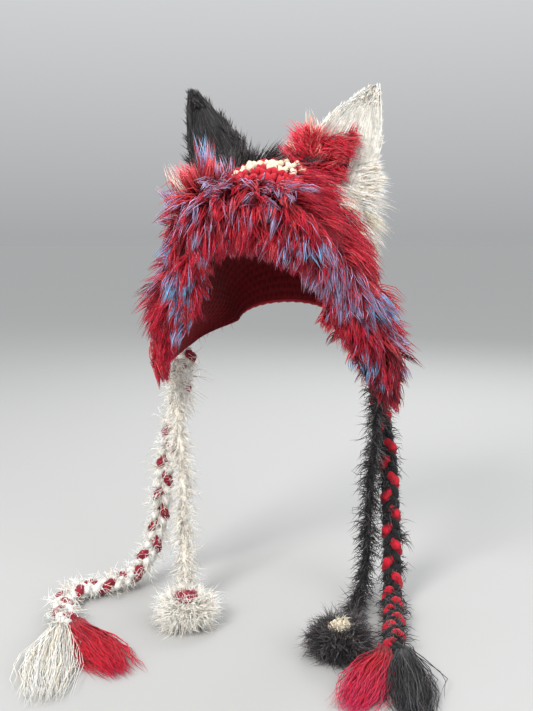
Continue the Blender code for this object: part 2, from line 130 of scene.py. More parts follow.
# Ties
FLOOR = -0.478
BRAID_DIAMETER = 0.022
BRAID_PITCH = 0.038
BRAID_SIDES = 10
CROCHET_STRAND = 0.0053
FLUFFY_STRAND = 0.0041
KNOB_STEP = 0.0062
CORD_DIAMETER = 0.010
CORD_WIND = 0.016
CORD_FLUFF = 0.025
FLUFF_SHARES = (0.6, 0.25, 0.15)
ROSETTE_RADIUS = 0.021
ROSETTE_FUR = 0.027
WHITE_BRAID_ROUTE = (
    (-0.113, 0.0112, -0.2046), (-0.113, 0.0160, -0.2145), (-0.1165, 0.0150, -0.237), (-0.122, 0.008, -0.268),
    (-0.128, -0.003, -0.302), (-0.133, -0.012, -0.340), (-0.136, -0.020, -0.380), (-0.141, -0.026, -0.415),
    (-0.150, -0.036, -0.444), (-0.164, -0.050, -0.461), (-0.180, -0.066, -0.467), (-0.198, -0.080, -0.467),
    (-0.213, -0.094, -0.467), (-0.220, -0.114, -0.467), (-0.215, -0.137, -0.467), (-0.204, -0.158, -0.467),
    (-0.193, -0.178, -0.467),
)
BLACK_BRAID_ROUTE = (
    (0.113, 0.0112, -0.2324), (0.113, 0.0160, -0.2423), (0.1165, 0.0150, -0.263), (0.121, 0.009, -0.291),
    (0.127, 0.001, -0.322), (0.130, -0.006, -0.355), (0.132, -0.012, -0.390), (0.134, -0.022, -0.420),
    (0.135, -0.038, -0.447), (0.136, -0.060, -0.463), (0.137, -0.086, -0.467), (0.138, -0.112, -0.467),
    (0.138, -0.136, -0.467), (0.139, -0.160, -0.467), (0.139, -0.184, -0.467),
)
WHITE_CORD_ROUTE = (
    (-0.1165, -0.015, -0.2120), (-0.117, -0.018, -0.240), (-0.114, -0.026, -0.275), (-0.108, -0.036, -0.315),
    (-0.103, -0.048, -0.350), (-0.099, -0.059, -0.382), (-0.096, -0.070, -0.412), (-0.092, -0.081, -0.439),
    (-0.089, -0.092, -0.4575), (-0.085, -0.108, -0.4635),
)
BLACK_CORD_ROUTE = (
    (0.1165, -0.015, -0.2400), (0.115, -0.018, -0.268), (0.112, -0.021, -0.305), (0.109, -0.022, -0.340),
    (0.107, -0.022, -0.375), (0.106, -0.023, -0.405), (0.105, -0.028, -0.432), (0.103, -0.041, -0.455),
    (0.100, -0.060, -0.469), (0.097, -0.084, -0.473), (0.094, -0.108, -0.473), (0.091, -0.131, -0.470),
    (0.089, -0.150, -0.4655),
)
WHITE_CORD_LENGTH = 0.278
BLACK_CORD_LENGTH = 0.336

# Thickness of single strands, by where they grow
BRIM_HAIR = 0.00064
TUFT_HAIR = 0.00048
CROWN_HAIR = 0.00048
FUZZ_HAIR = 0.00026
EAR_HAIR = 0.00055
FRINGE_HAIR = 0.00050
LINING_HAIR = 0.00060
FLUFF_HAIR = 0.00046
ROSETTE_HAIR = 0.00044
CENTRE_HAIR = 0.00040
PLUME_HAIR = 0.00052

# Stage and light
FLOOR_COLOUR = (0.39, 0.39, 0.385)
SKY_COLOUR = (0.96, 0.98, 1.0, 1.0)
SKY_LEVEL = (0.40, 1.00)
LIGHT_AIM = (0.0, -0.05, -0.15)
LIGHT_COLUMNS = ("name", "place", "size", "power", "colour")
LIGHTS = (
    ("key", (-0.8, -1.5, 1.1), 0.8, 46.0, (1.0, 0.98, 0.95)),
    ("fill", (1.4, -1.0, 0.3), 1.2, 15.0, (0.95, 0.97, 1.0)),
    ("back", (0.3, 1.4, 1.0), 1.0, 20.0, (1.0, 1.0, 1.0)),
)

# Camera
CAMERA_PLACE = (0.1394, -0.9694, -0.0699)
CAMERA_PITCH = 8.0
CAMERA_YAW = 9.0
CAMERA_LENS = 28.93
SENSOR_HEIGHT = 24.0

draw = np.random.default_rng(11)


def rgb(red, green, blue):
    """A screen colour from 0 to 255 as linear light."""
    share = np.array([red, green, blue]) / 255
    return np.where(share <= 0.04045, share / 12.92, ((share + 0.055) / 1.055) ** 2.4)


CRIMSON = rgb(196, 24, 44)
CORAL = rgb(226, 62, 74)
MAROON = rgb(108, 8, 26)
LAVENDER = rgb(166, 154, 196)
SKY = rgb(112, 178, 232)
BLACK = rgb(26, 26, 29)
SOOT = rgb(78, 78, 82)
WHITE = rgb(252, 249, 243)
SOFT_WHITE = rgb(251, 243, 230)
CREAM = rgb(244, 230, 208)
ECRU = rgb(240, 226, 200)
BRIGHT_RED = rgb(206, 14, 44)
DARK_RED = rgb(150, 18, 46)
RASPBERRY = rgb(204, 36, 78)
ROSE = rgb(164, 46, 68)
PEACH = rgb(236, 196, 168)


def smooth_step(low, high, value):
    """0 below low, 1 above high, and an even slope between them."""
    share = np.clip((value - low) / (high - low), 0.0, 1.0)
    return share * share * (3 - 2 * share)


def unit(vectors):
    """Vectors of length 1."""
    return vectors / np.maximum(np.linalg.norm(vectors, axis=-1, keepdims=True), 1e-9)


def cubic(start, leave, end, arrive, s):
    """A cubic from start to end, with its slopes there given, at shares s from 0 to 1."""
    return (
        (2 * s**3 - 3 * s**2 + 1) * start + (s**3 - 2 * s**2 + s) * leave
        + (3 * s**2 - 2 * s**3) * end + (s**3 - s**2) * arrive
    )


def bell(value, at, wide):
    """1 at a value, falling off on both sides by e to the minus square of the distance in widths."""
    return np.exp(-(((value - at) / wide) ** 2))


def hill(u, w, at, spread):
    """A bell over two parameters: 1 at a place, falling off all round by the squares of both distances."""
    return np.exp(-(((u - at[0]) / spread[0]) ** 2) - ((w - at[1]) / spread[1]) ** 2)


def along_table(table, place):
    """A smooth curve through the rows of a table, a cubic between each two rows, read at places from 0 to 1."""
    rows = np.array(table, dtype=float)
    slopes = np.gradient(rows, axis=0)
    spot = np.clip(place, 0.0, 1.0) * (len(rows) - 1)
    low = np.minimum(spot.astype(int), len(rows) - 2)
    return cubic(rows[low], slopes[low], rows[low + 1], slopes[low + 1], (spot - low)[..., None])


def hoop_point(u, v):
    """The inside of the crown. u runs from the left hem (-1) over the top to the right hem (1), v from the face
    edge (0) to the nape (1). Each hoop is a quarter ellipse from the top to the side, then a cubic to the hem."""
    hoop = dict(zip(HOOP_COLUMNS, np.moveaxis(along_table(HOOPS, v), -1, 0)))
    out = HEAD_WIDTH / 2
    back = HEAD_DEPTH / 2
    top = np.stack([0 * v, hoop["top_back"] * back, -hoop["top_down"] * HOOD_HEIGHT], -1)
    side = np.stack([hoop["side_out"] * out, hoop["side_back"] * back, -hoop["side_down"] * HOOD_HEIGHT], -1)
    hem = np.stack([hoop["hem_out"] * out, hoop["hem_back"] * back, -hoop["hem_down"] * HOOD_HEIGHT], -1)
    t = np.abs(u)
    turn = np.minimum(t / SIDE_AT, 1.0)[..., None] * math.pi / 2
    straight = side * (0, 1, 1)
    upper = straight + (top - straight) * np.cos(turn) + side * (1, 0, 0) * np.sin(turn)
    s = np.clip((t - SIDE_AT) / (1 - SIDE_AT), 0.0, 1.0)[..., None]
    leave = (straight - top) * (math.pi / 2 * (1 - SIDE_AT) / SIDE_AT)
    lower = cubic(side, leave, hem, hem - side, s)
    point = np.where((t < SIDE_AT)[..., None], upper, lower)
    point[..., 0] *= np.sign(u)
    weight = 1 - smooth_step(0.0, 0.45, v) * (1 - smooth_step(0.45, 1.0, t))
    point[..., 2] -= LEAN * np.tanh(point[..., 0] / LEAN_WIDTH) * weight
    return point


def crown_point(u, v, out):
    """A point at a height out over the inside of the crown, along its normal, and straight on past its edges."""
    u, v, out = np.broadcast_arrays(*(np.asarray(x, dtype=float) for x in (u, v, out)))
    step = 0.002
    held_u = np.clip(u, -1 + step, 1 - step)
    held_v = np.clip(v, step, 1 - step)
    here = hoop_point(held_u, held_v)
    by_u = (hoop_point(held_u + step, held_v) - hoop_point(held_u - step, held_v)) / (2 * step)
    by_v = (hoop_point(held_u, held_v + step) - hoop_point(held_u, held_v - step)) / (2 * step)
    normal = unit(np.cross(by_u, by_v))
    return here + by_u * (u - held_u)[..., None] + by_v * (v - held_v)[..., None] + normal * out[..., None]


def roll_reach(u):
    """How far back over the crown the brim's roll goes, as a share of its arc: least at the top, most on a flap."""
    return ROLL_REACH_TOP + (ROLL_REACH_FLAP - ROLL_REACH_TOP) * smooth_step(*ROLL_WIDENS, np.abs(u))


def roll_point(u, w, lift=0.0):
    """The brim's roll: w runs across it from its front edge (0) to its back edge (1). It stands off the crown by a
    power of a sine of w, is thinner towards the ends of the flaps, and is fullest at its top left corner."""
    reach = roll_reach(u) * (1 - 0.5 * smooth_step(*ROLL_NARROWS, np.abs(u)))
    overhang = ROLL_OVERHANG / CROWN_ARC
    end = np.clip((np.abs(u) - ROLL_THINS_AT) / (1 + ROLL_PAST_HEM - ROLL_THINS_AT), 0.0, 1.0)
    fullness = np.sqrt(np.maximum(1 - end**2, 0.16))
    height = ROLL_THICKNESS * np.sin(np.pi * np.clip(w, 0, 1)) ** ROLL_ROUNDNESS * fullness
    height = height + ROLL_CORNER * hill(u, w, ROLL_CORNER_AT, ROLL_CORNER_SPREAD)
    return crown_point(u, -overhang + (reach + overhang) * w, WALL + height + lift)


def slopes_of(surface, a, b, step=0.004):
    """A surface's points and its slopes by each parameter, from points a small step away."""
    here = surface(a, b)
    by_a = (surface(a + step, b) - surface(a - step, b)) / (2 * step)
    by_b = (surface(a, b + step) - surface(a, b - step)) / (2 * step)
    return here, by_a, by_b


def curve_through(start, control, end, b):
    """A bend from start to end that leans to its control point."""
    b = b[..., None]
    return (1 - b) ** 2 * start + 2 * b * (1 - b) * control + b**2 * end


def ear_point(side, a, b, face):
    """An ear: a runs from its inner edge to its outer, b from the root on the crown to the tip, and face from the
    front (-1) to the back (1). Its edges are bends between foot and tip, and its middle is pushed back by a sine."""
    base_u = side * (EAR_FOOT_IN + (EAR_FOOT_OUT - EAR_FOOT_IN) * a)
    base_v = EAR_FOOT_BACK[0] + (EAR_FOOT_BACK[1] - EAR_FOOT_BACK[0]) * a
    root = crown_point(base_u, base_v, WALL - EAR_ROOT)
    foot = crown_point(np.array([side * EAR_FOOT_IN, side * EAR_FOOT_OUT]), np.array(EAR_FOOT_BACK), WALL - EAR_ROOT)
    tip_out, bend = (EAR_TIP_OUT, EAR_BEND) if side > 0 else (-BLACK_EAR_TIP_OUT, BLACK_EAR_BEND)
    tip = np.array([tip_out, 0.002, EAR_HEIGHT])
    half_tip = np.array([side * EAR_TIP_WIDTH / 2, 0, 0])
    bend_in = np.array([tip_out * bend[0], -0.004, EAR_HEIGHT * bend[1]])
    bend_out = np.array([tip_out * EAR_OUTER_BEND[0], 0.008, EAR_HEIGHT * EAR_OUTER_BEND[1]])
    inner = curve_through(foot[0], bend_in, tip - half_tip, b)
    outer = curve_through(foot[1], bend_out, tip + half_tip, b)
    across = a[..., None]
    straight = foot[0] + (foot[1] - foot[0]) * across
    middle = inner + (outer - inner) * across + (root - straight) * (1 - b[..., None]) ** 2
    rounding = np.sin(np.pi * np.clip(a, 0, 1))
    middle[..., 1] += EAR_CUP * rounding * (1 - 0.6 * b)
    middle[..., 1] += (
        face * EAR_THICKNESS / 2 * (0.5 + 0.5 * rounding) * (1 - 0.45 * b) * (1 - 0.7 * smooth_step(0.6, 1, b))
    )
    return middle


def new_piece(name, points, faces, finish, nodes=(), tint=None, weld=False):
    """A mesh from an array of points and one of faces with as many corners each. It rides on the hood. Where weld is
    set, points in one place, such as those of a pole, become one."""
    mesh = bpy.data.meshes.new(name)
    points = np.asarray(points, dtype=np.float32)
    faces = np.asarray(faces, dtype=np.int32)
    mesh.vertices.add(len(points))
    mesh.vertices.foreach_set("co", points.ravel())
    mesh.loops.add(faces.size)
    mesh.loops.foreach_set("vertex_index", faces.ravel())
    mesh.polygons.add(len(faces))
    mesh.polygons.foreach_set("loop_start", np.arange(0, faces.size, faces.shape[1], dtype=np.int32))
    mesh.polygons.foreach_set("use_smooth", np.full(len(faces), True))
    mesh.update(calc_edges=True)
    if tint is not None:
        layer = mesh.color_attributes.new("tint", "FLOAT_COLOR", "POINT")
        colours = np.ones((len(points), 4), dtype=np.float32)
        colours[:, :3] = np.broadcast_to(tint, (len(points), 3))
        layer.data.foreach_set("color", colours.ravel())
    if weld:
        work = bmesh.new()
        work.from_mesh(mesh)
        bmesh.ops.remove_doubles(work, verts=work.verts, dist=1e-6)
        work.to_mesh(mesh)
        work.free()
    piece = bpy.data.objects.new(name, mesh)
    bpy.context.scene.collection.objects.link(piece)
    mesh.materials.append(finish)
    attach(piece, "root")
    if nodes:
        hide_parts(*nodes)
    return piece


def grid_faces(rows, columns, around_rows=False, around_columns=False, first=0):
    """Quads over a grid of points, with either side closed round on itself."""
    r = np.arange(rows if around_rows else rows - 1)
    c = np.arange(columns if around_columns else columns - 1)
    r, c = (x.ravel() for x in np.meshgrid(r, c, indexing="ij"))
    next_r = (r + 1) % rows
    next_c = (c + 1) % columns
    return first + np.stack([r * columns + c, next_r * columns + c, next_r * columns + next_c, r * columns + next_c], 1)


def closed_slab(front, back):
    """Points and quads of a wall between two grids of one shape, closed round its four edges."""
    rows, columns = front.shape[:2]
    count = rows * columns
    border = np.concatenate([
        np.arange(columns), columns * np.arange(1, rows) + columns - 1,
        count - 2 - np.arange(columns - 1), columns * np.arange(rows - 2, 0, -1),
    ])
    ahead = np.roll(border, -1)
    rim = np.stack([border, border + count, ahead + count, ahead], 1)
    faces = np.concatenate([grid_faces(rows, columns), grid_faces(rows, columns, first=count)[:, ::-1], rim[:, ::-1]])
    return np.concatenate([front.reshape(-1, 3), back.reshape(-1, 3)]), faces


def tube(lines, radii, sides=10):
    """Points and quads of a round tube along a line of points. Its ends are drawn in to a point."""
    ahead = unit(np.gradient(lines, axis=0))
    side, over = cross_axes(ahead)
    angle = np.linspace(0, 2 * np.pi, sides, endpoint=False)
    ring = side[:, None] * np.cos(angle)[None, :, None] + over[:, None] * np.sin(angle)[None, :, None]
    points = lines[:, None] + ring * np.broadcast_to(radii, (len(lines),))[:, None, None]
    return points, grid_faces(len(lines), sides, around_columns=True)[:, ::-1]


def cross_axes(ahead):
    """Two axes across a direction: one level and across the view of the face, one towards the face or upwards."""
    steep = np.abs(ahead[..., 2:3])
    facing = np.concatenate([0 * steep, -steep, 1.05 - steep], -1)
    side = unit(np.cross(facing, ahead))
    return side, unit(np.cross(ahead, side))


def strand_piece(name, lines, radius, tints, finish, nodes=()):
    """Strands as closed three-sided spikes: a triangle of points round each point of a line but the last, which is
    the tip. lines is strands x points x 3, radius strands x points, and tints strands x points x 3."""
    count, rings = lines.shape[:2]
    ahead = unit(np.gradient(lines, axis=1))
    side = unit(np.cross(ahead, unit(draw.normal(size=(count, 1, 3)))))
    over = np.cross(ahead, side)
    angle = np.arange(3) * 2 * np.pi / 3
    ring = side[:, :, None] * np.cos(angle)[:, None] + over[:, :, None] * np.sin(angle)[:, None]
    body = rings - 1
    points = lines[:, :body, None] + ring[:, :body] * radius[:, :body, None, None]
    points = np.concatenate([points.reshape(count, body * 3, 3), lines[:, -1:]], 1)
    each = body * 3 + 1
    corner = np.arange(3)
    after = (corner + 1) % 3
    walls = [
        np.concatenate([
            np.stack([r * 3 + corner, r * 3 + after, (r + 1) * 3 + after], 1),
            np.stack([r * 3 + corner, (r + 1) * 3 + after, (r + 1) * 3 + corner], 1),
        ])
        for r in range(body - 1)
    ]
    tip = np.stack([(body - 1) * 3 + corner, (body - 1) * 3 + after, np.full(3, each - 1)], 1)
    local = np.concatenate(walls + [tip, np.array([[0, 2, 1]])])
    faces = (local[None] + each * np.arange(count)[:, None, None]).reshape(-1, 3)
    tint = np.concatenate([np.repeat(tints[:, :body], 3, axis=1), tints[:, -1:]], 1).reshape(-1, 3)
    return new_piece(name, points.reshape(-1, 3), faces, finish, nodes, np.clip(tint, 0, 1))


def combed_locks(roots, ways, lengths, droop, per, spread, gather=0.6, stray=0.22, curl=0.12, points=4):
    """Locks of strands. Each strand sets out a little astray of its lock's way and turns to the ground as it goes:
    at a share s of its length it heads along way + droop x s x down, with a little curl. Its points are the running
    sum of those steps. Strands start in a ball round the lock's root and gather to its middle line with s."""

    def for_strands(value):
        """A value for each lock, or one for all, as a value for each strand."""
        return np.repeat(np.broadcast_to(value, (len(roots),)), per)[:, None, None]

    root, way = np.repeat(roots, per, axis=0), np.repeat(ways, per, axis=0)
    count = len(root)
    length = for_strands(lengths) * draw.uniform(0.62, 1.05, (count, 1, 1))
    s = np.linspace(0, 1, points)
    mid = ((s[1:] + s[:-1]) / 2)[None, :, None]
    fall = for_strands(droop) * mid * np.array([0.0, 0.0, -1.0])
    own_way = unit(way + draw.normal(scale=stray, size=(count, 3)))
    heading = unit(own_way[:, None] + fall + draw.normal(scale=curl, size=(count, points - 1, 3)) * mid)
    lock_heading = unit(way[:, None] + fall)
    scatter = draw.normal(scale=0.5, size=(count, 1, 3)) * for_strands(spread)
    start = np.zeros((count, 1, 3))
    step = length / (points - 1)
    own = np.concatenate([start, np.cumsum(heading * step, axis=1)], 1) + scatter
    middle = np.concatenate([start, np.cumsum(lock_heading * step, axis=1)], 1)
    pull = gather * s[None, :, None] ** 1.3
    return root[:, None] + own * (1 - pull) + middle * pull


def tapered(lines, thick, tip=0.35):
    """Radii that thin out along each strand."""
    s = np.linspace(0, 1, lines.shape[1])[None]
    return thick * (1 - (1 - tip) * s**1.5) * draw.uniform(0.75, 1.2, (len(lines), 1))


def shaded(lines, base, tip, start=0.40, painted_root_shade=0.45, jitter=0.28):
    """Tints along strands: base at the root, turning to tip past start, darker at the root as painted shade where
    strands crowd, each strand lighter or darker than the next."""
    s = np.linspace(0, 1, lines.shape[1])[None, :, None]
    mix = smooth_step(start - 0.15, start + 0.3, s)
    colour = base[:, None] * (1 - mix) + tip[:, None] * mix
    # The darkening towards the root is painted shade; the random factor gives each strand its own tone.
    return colour * (painted_root_shade + (1 - painted_root_shade) * s**0.6) * draw.uniform(1 - jitter, 1 + jitter, (len(lines), 1, 1))


def blend_of(colours, shares, count):
    """Random picks from a few colours, by their shares."""
    pick = draw.choice(len(colours), size=count, p=np.array(shares) / np.sum(shares))
    return np.array(colours)[pick]


def above_floor(lines):
    """Strands with every point at least a hair's height above the floor, each a little higher than the next."""
    lines[..., 2] = np.maximum(lines[..., 2], FLOOR + 0.0006 + 0.002 * draw.uniform(size=(len(lines), 1)))
    return lines


def rows_of(columns, table):
    """A table's rows, each as a dictionary by the names of its columns."""
    return [dict(zip(columns, row)) for row in table]


def finish_nodes(name):
    """A new material and its nodes, links and shader."""
    made = bpy.data.materials.new(name)
    made.use_nodes = True
    return made, made.node_tree.nodes, made.node_tree.links, made.node_tree.nodes["Principled BSDF"]


def yarn_finish(name, grain, roughness=0.6, sheen=0.25, bump=0.0, mottle=0.25, glow=0.0):
    """Yarn: the piece's own tint, mottled by a fine noise in the object's space, with a fibre bump where it has one."""
    made, nodes, links, shader = finish_nodes(name)
    tint = nodes.new("ShaderNodeAttribute")
    tint.attribute_name = "tint"
    place = nodes.new("ShaderNodeTexCoord")
    noise = nodes.new("ShaderNodeTexNoise")
    noise.inputs["Scale"].default_value = grain
    noise.inputs["Detail"].default_value = 3.0
    links.new(place.outputs["Object"], noise.inputs["Vector"])
    level = nodes.new("ShaderNodeMapRange")
    level.inputs["From Min"].default_value = 0.3
    level.inputs["From Max"].default_value = 0.7
    level.inputs["To Min"].default_value = 1 - mottle
    level.inputs["To Max"].default_value = 1 + mottle
    links.new(noise.outputs["Fac"], level.inputs["Value"])
    scaled = nodes.new("ShaderNodeVectorMath")
    scaled.operation = "SCALE"
    links.new(tint.outputs["Color"], scaled.inputs[0])
    links.new(level.outputs["Result"], scaled.inputs["Scale"])
    links.new(scaled.outputs["Vector"], shader.inputs["Base Color"])
    shader.inputs["Roughness"].default_value = roughness
    shader.inputs["Sheen Weight"].default_value = sheen
    shader.inputs["Sheen Roughness"].default_value = 0.5
    shader.inputs["Specular IOR Level"].default_value = 0.3
    shader.inputs["Subsurface Weight"].default_value = glow
    shader.inputs["Subsurface Radius"].default_value = (1.0, 0.6, 0.5)
    shader.inputs["Subsurface Scale"].default_value = 0.002
    if bump:
        height = nodes.new("ShaderNodeBump")
        height.inputs["Strength"].default_value = bump
        height.inputs["Distance"].default_value = 0.001
        links.new(noise.outputs["Fac"], height.inputs["Height"])
        links.new(height.outputs["Normal"], shader.inputs["Normal"])
    return made


FUR = yarn_finish("fur_yarn", 180.0, roughness=0.5, sheen=0.06, mottle=0.2, glow=0.35)
WOOL = yarn_finish("crochet_wool", 900.0, roughness=0.8, sheen=0.12, bump=0.5, mottle=0.2)
BACKING = yarn_finish("fur_backing", 260.0, roughness=0.9, sheen=0.05, bump=0.6, mottle=0.5)


def stitch_relief(a, b):
    """The height of crochet at a stitches across and b rows up, from 0 to 1. Each stitch is two slanted beads that
    form a V, and every other row is moved by half a stitch."""
    row = np.floor(b)
    x = (a + 0.5 * (row % 2)) % 1 - 0.5
    y = b % 1 - 0.5
    height = np.zeros_like(x)
    for side in (-1, 1):
        bead = 1 - ((x - side * 0.23 - side * 0.25 * y) / 0.27) ** 2 - (y / 0.62) ** 2
        height = np.maximum(height, np.sqrt(np.maximum(bead, 0)))
    return height


def patch(u, v, u_middle, u_half, v_middle, v_half):
    """1 in the middle of an oval patch, 0 at its edge, and less outside it."""
    return 1 - ((u - u_middle) / u_half) ** 2 - ((v - v_middle) / v_half) ** 2


def crown_colour(u, v):
    """The crown's colour by stitch: black in an oval round the left ear, cream in one at the right ear's foot, and
    crimson for the rest. A random number for each stitch makes the ovals' edges ragged."""
    luck = draw.uniform(-0.35, 0.35, (STITCHES + 1, ROWS + 1))[
        np.floor((u + 1) / 2 * STITCHES).astype(int), np.floor(v * ROWS).astype(int)
    ]
    tone = 1 + 0.35 * luck[..., None]
    colour = CRIMSON * 0.8 * tone
    colour = np.where((patch(u, v, -0.34, 0.46, 0.48, 0.24) + luck > 0)[..., None], BLACK * tone, colour)
    return np.where((patch(u, v, 0.42, 0.20, 0.42, 0.16) + luck > 0)[..., None], CREAM * 0.85 * tone, colour)


def edge_band(name, low, high):
    """The rim between the crown's inside and outside along its four edges: a rounded border of crochet whose section
    bulges past the edge by a half sine."""
    along = np.linspace(0, 1, 90, endpoint=False)
    one, zero = np.ones_like(along), np.zeros_like(along)
    u = np.concatenate([2 * along - 1, one, 1 - 2 * along, -one])
    v = np.concatenate([zero, along, one, 1 - along])
    out_u = np.concatenate([zero, one, zero, -one])
    out_v = np.concatenate([-one, zero, one, zero])
    t = np.linspace(0, 1, 5)[:, None]
    knob = 1 + 0.18 * np.sin(np.arange(len(u)) * np.pi / 1.5)[None]
    bulge = np.sin(np.pi * t) * EDGE_BULGE * knob
    height = low - 0.0012 + (high - low + 0.0024) * t
    points = crown_point(u[None] + out_u * bulge / 0.30, v[None] + out_v * bulge / 0.28, height)
    back = crown_point(u[None] - out_u * 0.006, v[None] - out_v * 0.006, height)
    loop = np.concatenate([points, back[::-1]])
    faces = grid_faces(len(loop), len(u), around_rows=True, around_columns=True)[:, ::-1]
    new_piece(name, loop.reshape(-1, 3), faces, WOOL, ["crown"], CRIMSON * 0.6)


def build_crown():
    """Crochet on both sides of the crown as one closed wall, a border round its edge, and fine hairs out of it."""
    u, v = np.meshgrid(np.linspace(-1, 1, STITCHES * CELLS + 1), np.linspace(0, 1, ROWS * CELLS + 1), indexing="ij")
    relief = stitch_relief((u + 1) / 2 * STITCHES, v * ROWS)
    outer = crown_point(u, v, WALL - STITCH_ROOT + STITCH_HEIGHT * relief)
    inner = crown_point(u, v, LINING_ROOT - LINING_HEIGHT * relief)
    points, faces = closed_slab(outer, inner)
    # Painted shade: the crochet's colour is darker in the valleys between stitch beads, and the lining inside the hood
    # is painted darker still as shade.
    outside = crown_colour(u, v) * (0.40 + 0.60 * relief[..., None])
    lining = CRIMSON * 0.42 * (0.5 + 0.5 * relief[..., None])
    tint = np.concatenate([outside.reshape(-1, 3), lining.reshape(-1, 3)])
    new_piece("crown_crochet", points, faces, WOOL, ["crown"], tint)
    edge_band("crown_edge", LINING_ROOT, WALL - 0.0012)
    count, band = 1700, 400
    u = np.concatenate([draw.uniform(-1, 1, count - band), draw.uniform(*BAND_SPAN, band)])
    v = np.concatenate([draw.uniform(0.15, 1, count - band), draw.uniform(0.20, 0.40, band)])
    here, by_u, by_v = slopes_of(lambda p, q: crown_point(p, q, WALL), u, v)
    way = unit(0.6 * unit(np.cross(by_u, by_v)) + draw.normal(scale=0.6, size=(count, 3)))
    lines = combed_locks(here, way, 0.012, 0.6, 1, 0.0, gather=0.0, stray=0.4, curl=0.6, points=3)
    hair = np.clip(crown_colour(u, v) * 1.3, 0, 1)
    strand_piece(
        "crown_fuzz", lines, tapered(lines, FUZZ_HAIR), shaded(lines, hair, hair, painted_root_shade=0.8), FUR, ["crown"]
    )


TIP_PATCH_COLUMNS = ("u", "w", "wide", "deep", "share", "colour")
TIP_PATCHES = (
    (-0.14, 0.80, 0.10, 0.22, 0.50, "lavender"),
    (0.02, 0.68, 0.07, 0.14, 0.42, "lavender"),
    (-0.30, 0.60, 0.08, 0.35, 0.35, "lavender"),
    (-0.46, 0.70, 0.09, 0.30, 0.45, "lavender"),
    (-0.50, 0.33, 0.07, 0.22, 0.50, "sky"),
    (-0.78, 0.03, 0.09, 0.12, 0.60, "sky"),
    (0.33, 0.25, 0.10, 0.28, 0.50, "lavender"),
    (0.46, 0.40, 0.14, 0.34, 0.50, "lavender"),
    (0.58, 0.65, 0.06, 0.20, 0.60, "sky"),
    (0.82, 0.75, 0.08, 0.20, 0.30, "lavender"),
    (0.88, 0.05, 0.07, 0.20, 0.60, "sky"),
)


def brim_lock_tips(u, w):
    """For each lock of the brim, the colour of its pale strands and their share: next to none in most locks, half in
    a few, and most where a patch of lavender or sky lies."""
    count = len(u)
    tips = blend_of([LAVENDER, CORAL, SKY], [0.46, 0.46, 0.08], count)
    shares = np.where(draw.uniform(size=count) < 0.07, 0.55, draw.uniform(0.0, 0.10, count))
    for spot in rows_of(TIP_PATCH_COLUMNS, TIP_PATCHES):
        near = hill(u, w, (spot["u"], spot["w"]), (spot["wide"], spot["deep"]))
        chosen = draw.uniform(size=count) < near * spot["share"] * 1.4
        tips[chosen] = SKY if spot["colour"] == "sky" else LAVENDER
        shares[chosen] = 0.82
    shares[(u < -0.64) & (w > 0.18) & (draw.uniform(size=count) < 0.90)] = 0.03
    return tips, shares


def brim_width(u):
    """How far back the brim's long fur goes, as a share of the roll: less in front of the band, less at the top
    right, where smooth fur is combed over it, and less at the ends of the flaps."""
    band = 0.20 * smooth_step(-0.26, -0.18, u) * (1 - smooth_step(0.04, 0.14, u))
    right = smooth_step(0.05, 0.15, u) * (1 - smooth_step(0.50, 0.66, u))
    return 1 - band - 0.42 * right - 0.30 * smooth_step(0.78, 1.02, np.abs(u))


def brim_comb(u, w, normal, by_u, by_w):
    """The way of the brim's fur: out of the roll, to the front at its front edge and to the back at its back edge,
    and away from the face and down along the flaps. The left flap's end is combed in to a point."""
    flap = smooth_step(0.15, 0.75, np.abs(u))[:, None]
    share = w[:, None]
    to_front = -unit(by_w) * (0.95 * (1 - smooth_step(0.25, 0.90, share)))
    to_back = unit(by_w) * (0.80 * smooth_step(0.70, 1.0, share)) * (1 - 0.6 * flap)
    to_hem = unit(by_u) * np.tanh((u + 0.04) / 0.22)[:, None] * (0.25 + 0.45 * flap)
    inward = smooth_step(0.74, 1.0, -u)[:, None]
    outward = (0.55 + 0.35 * flap - 0.5 * inward) * normal
    return unit(outward + to_front + to_back + to_hem + inward * np.array([[0.9, 0, 0]]))


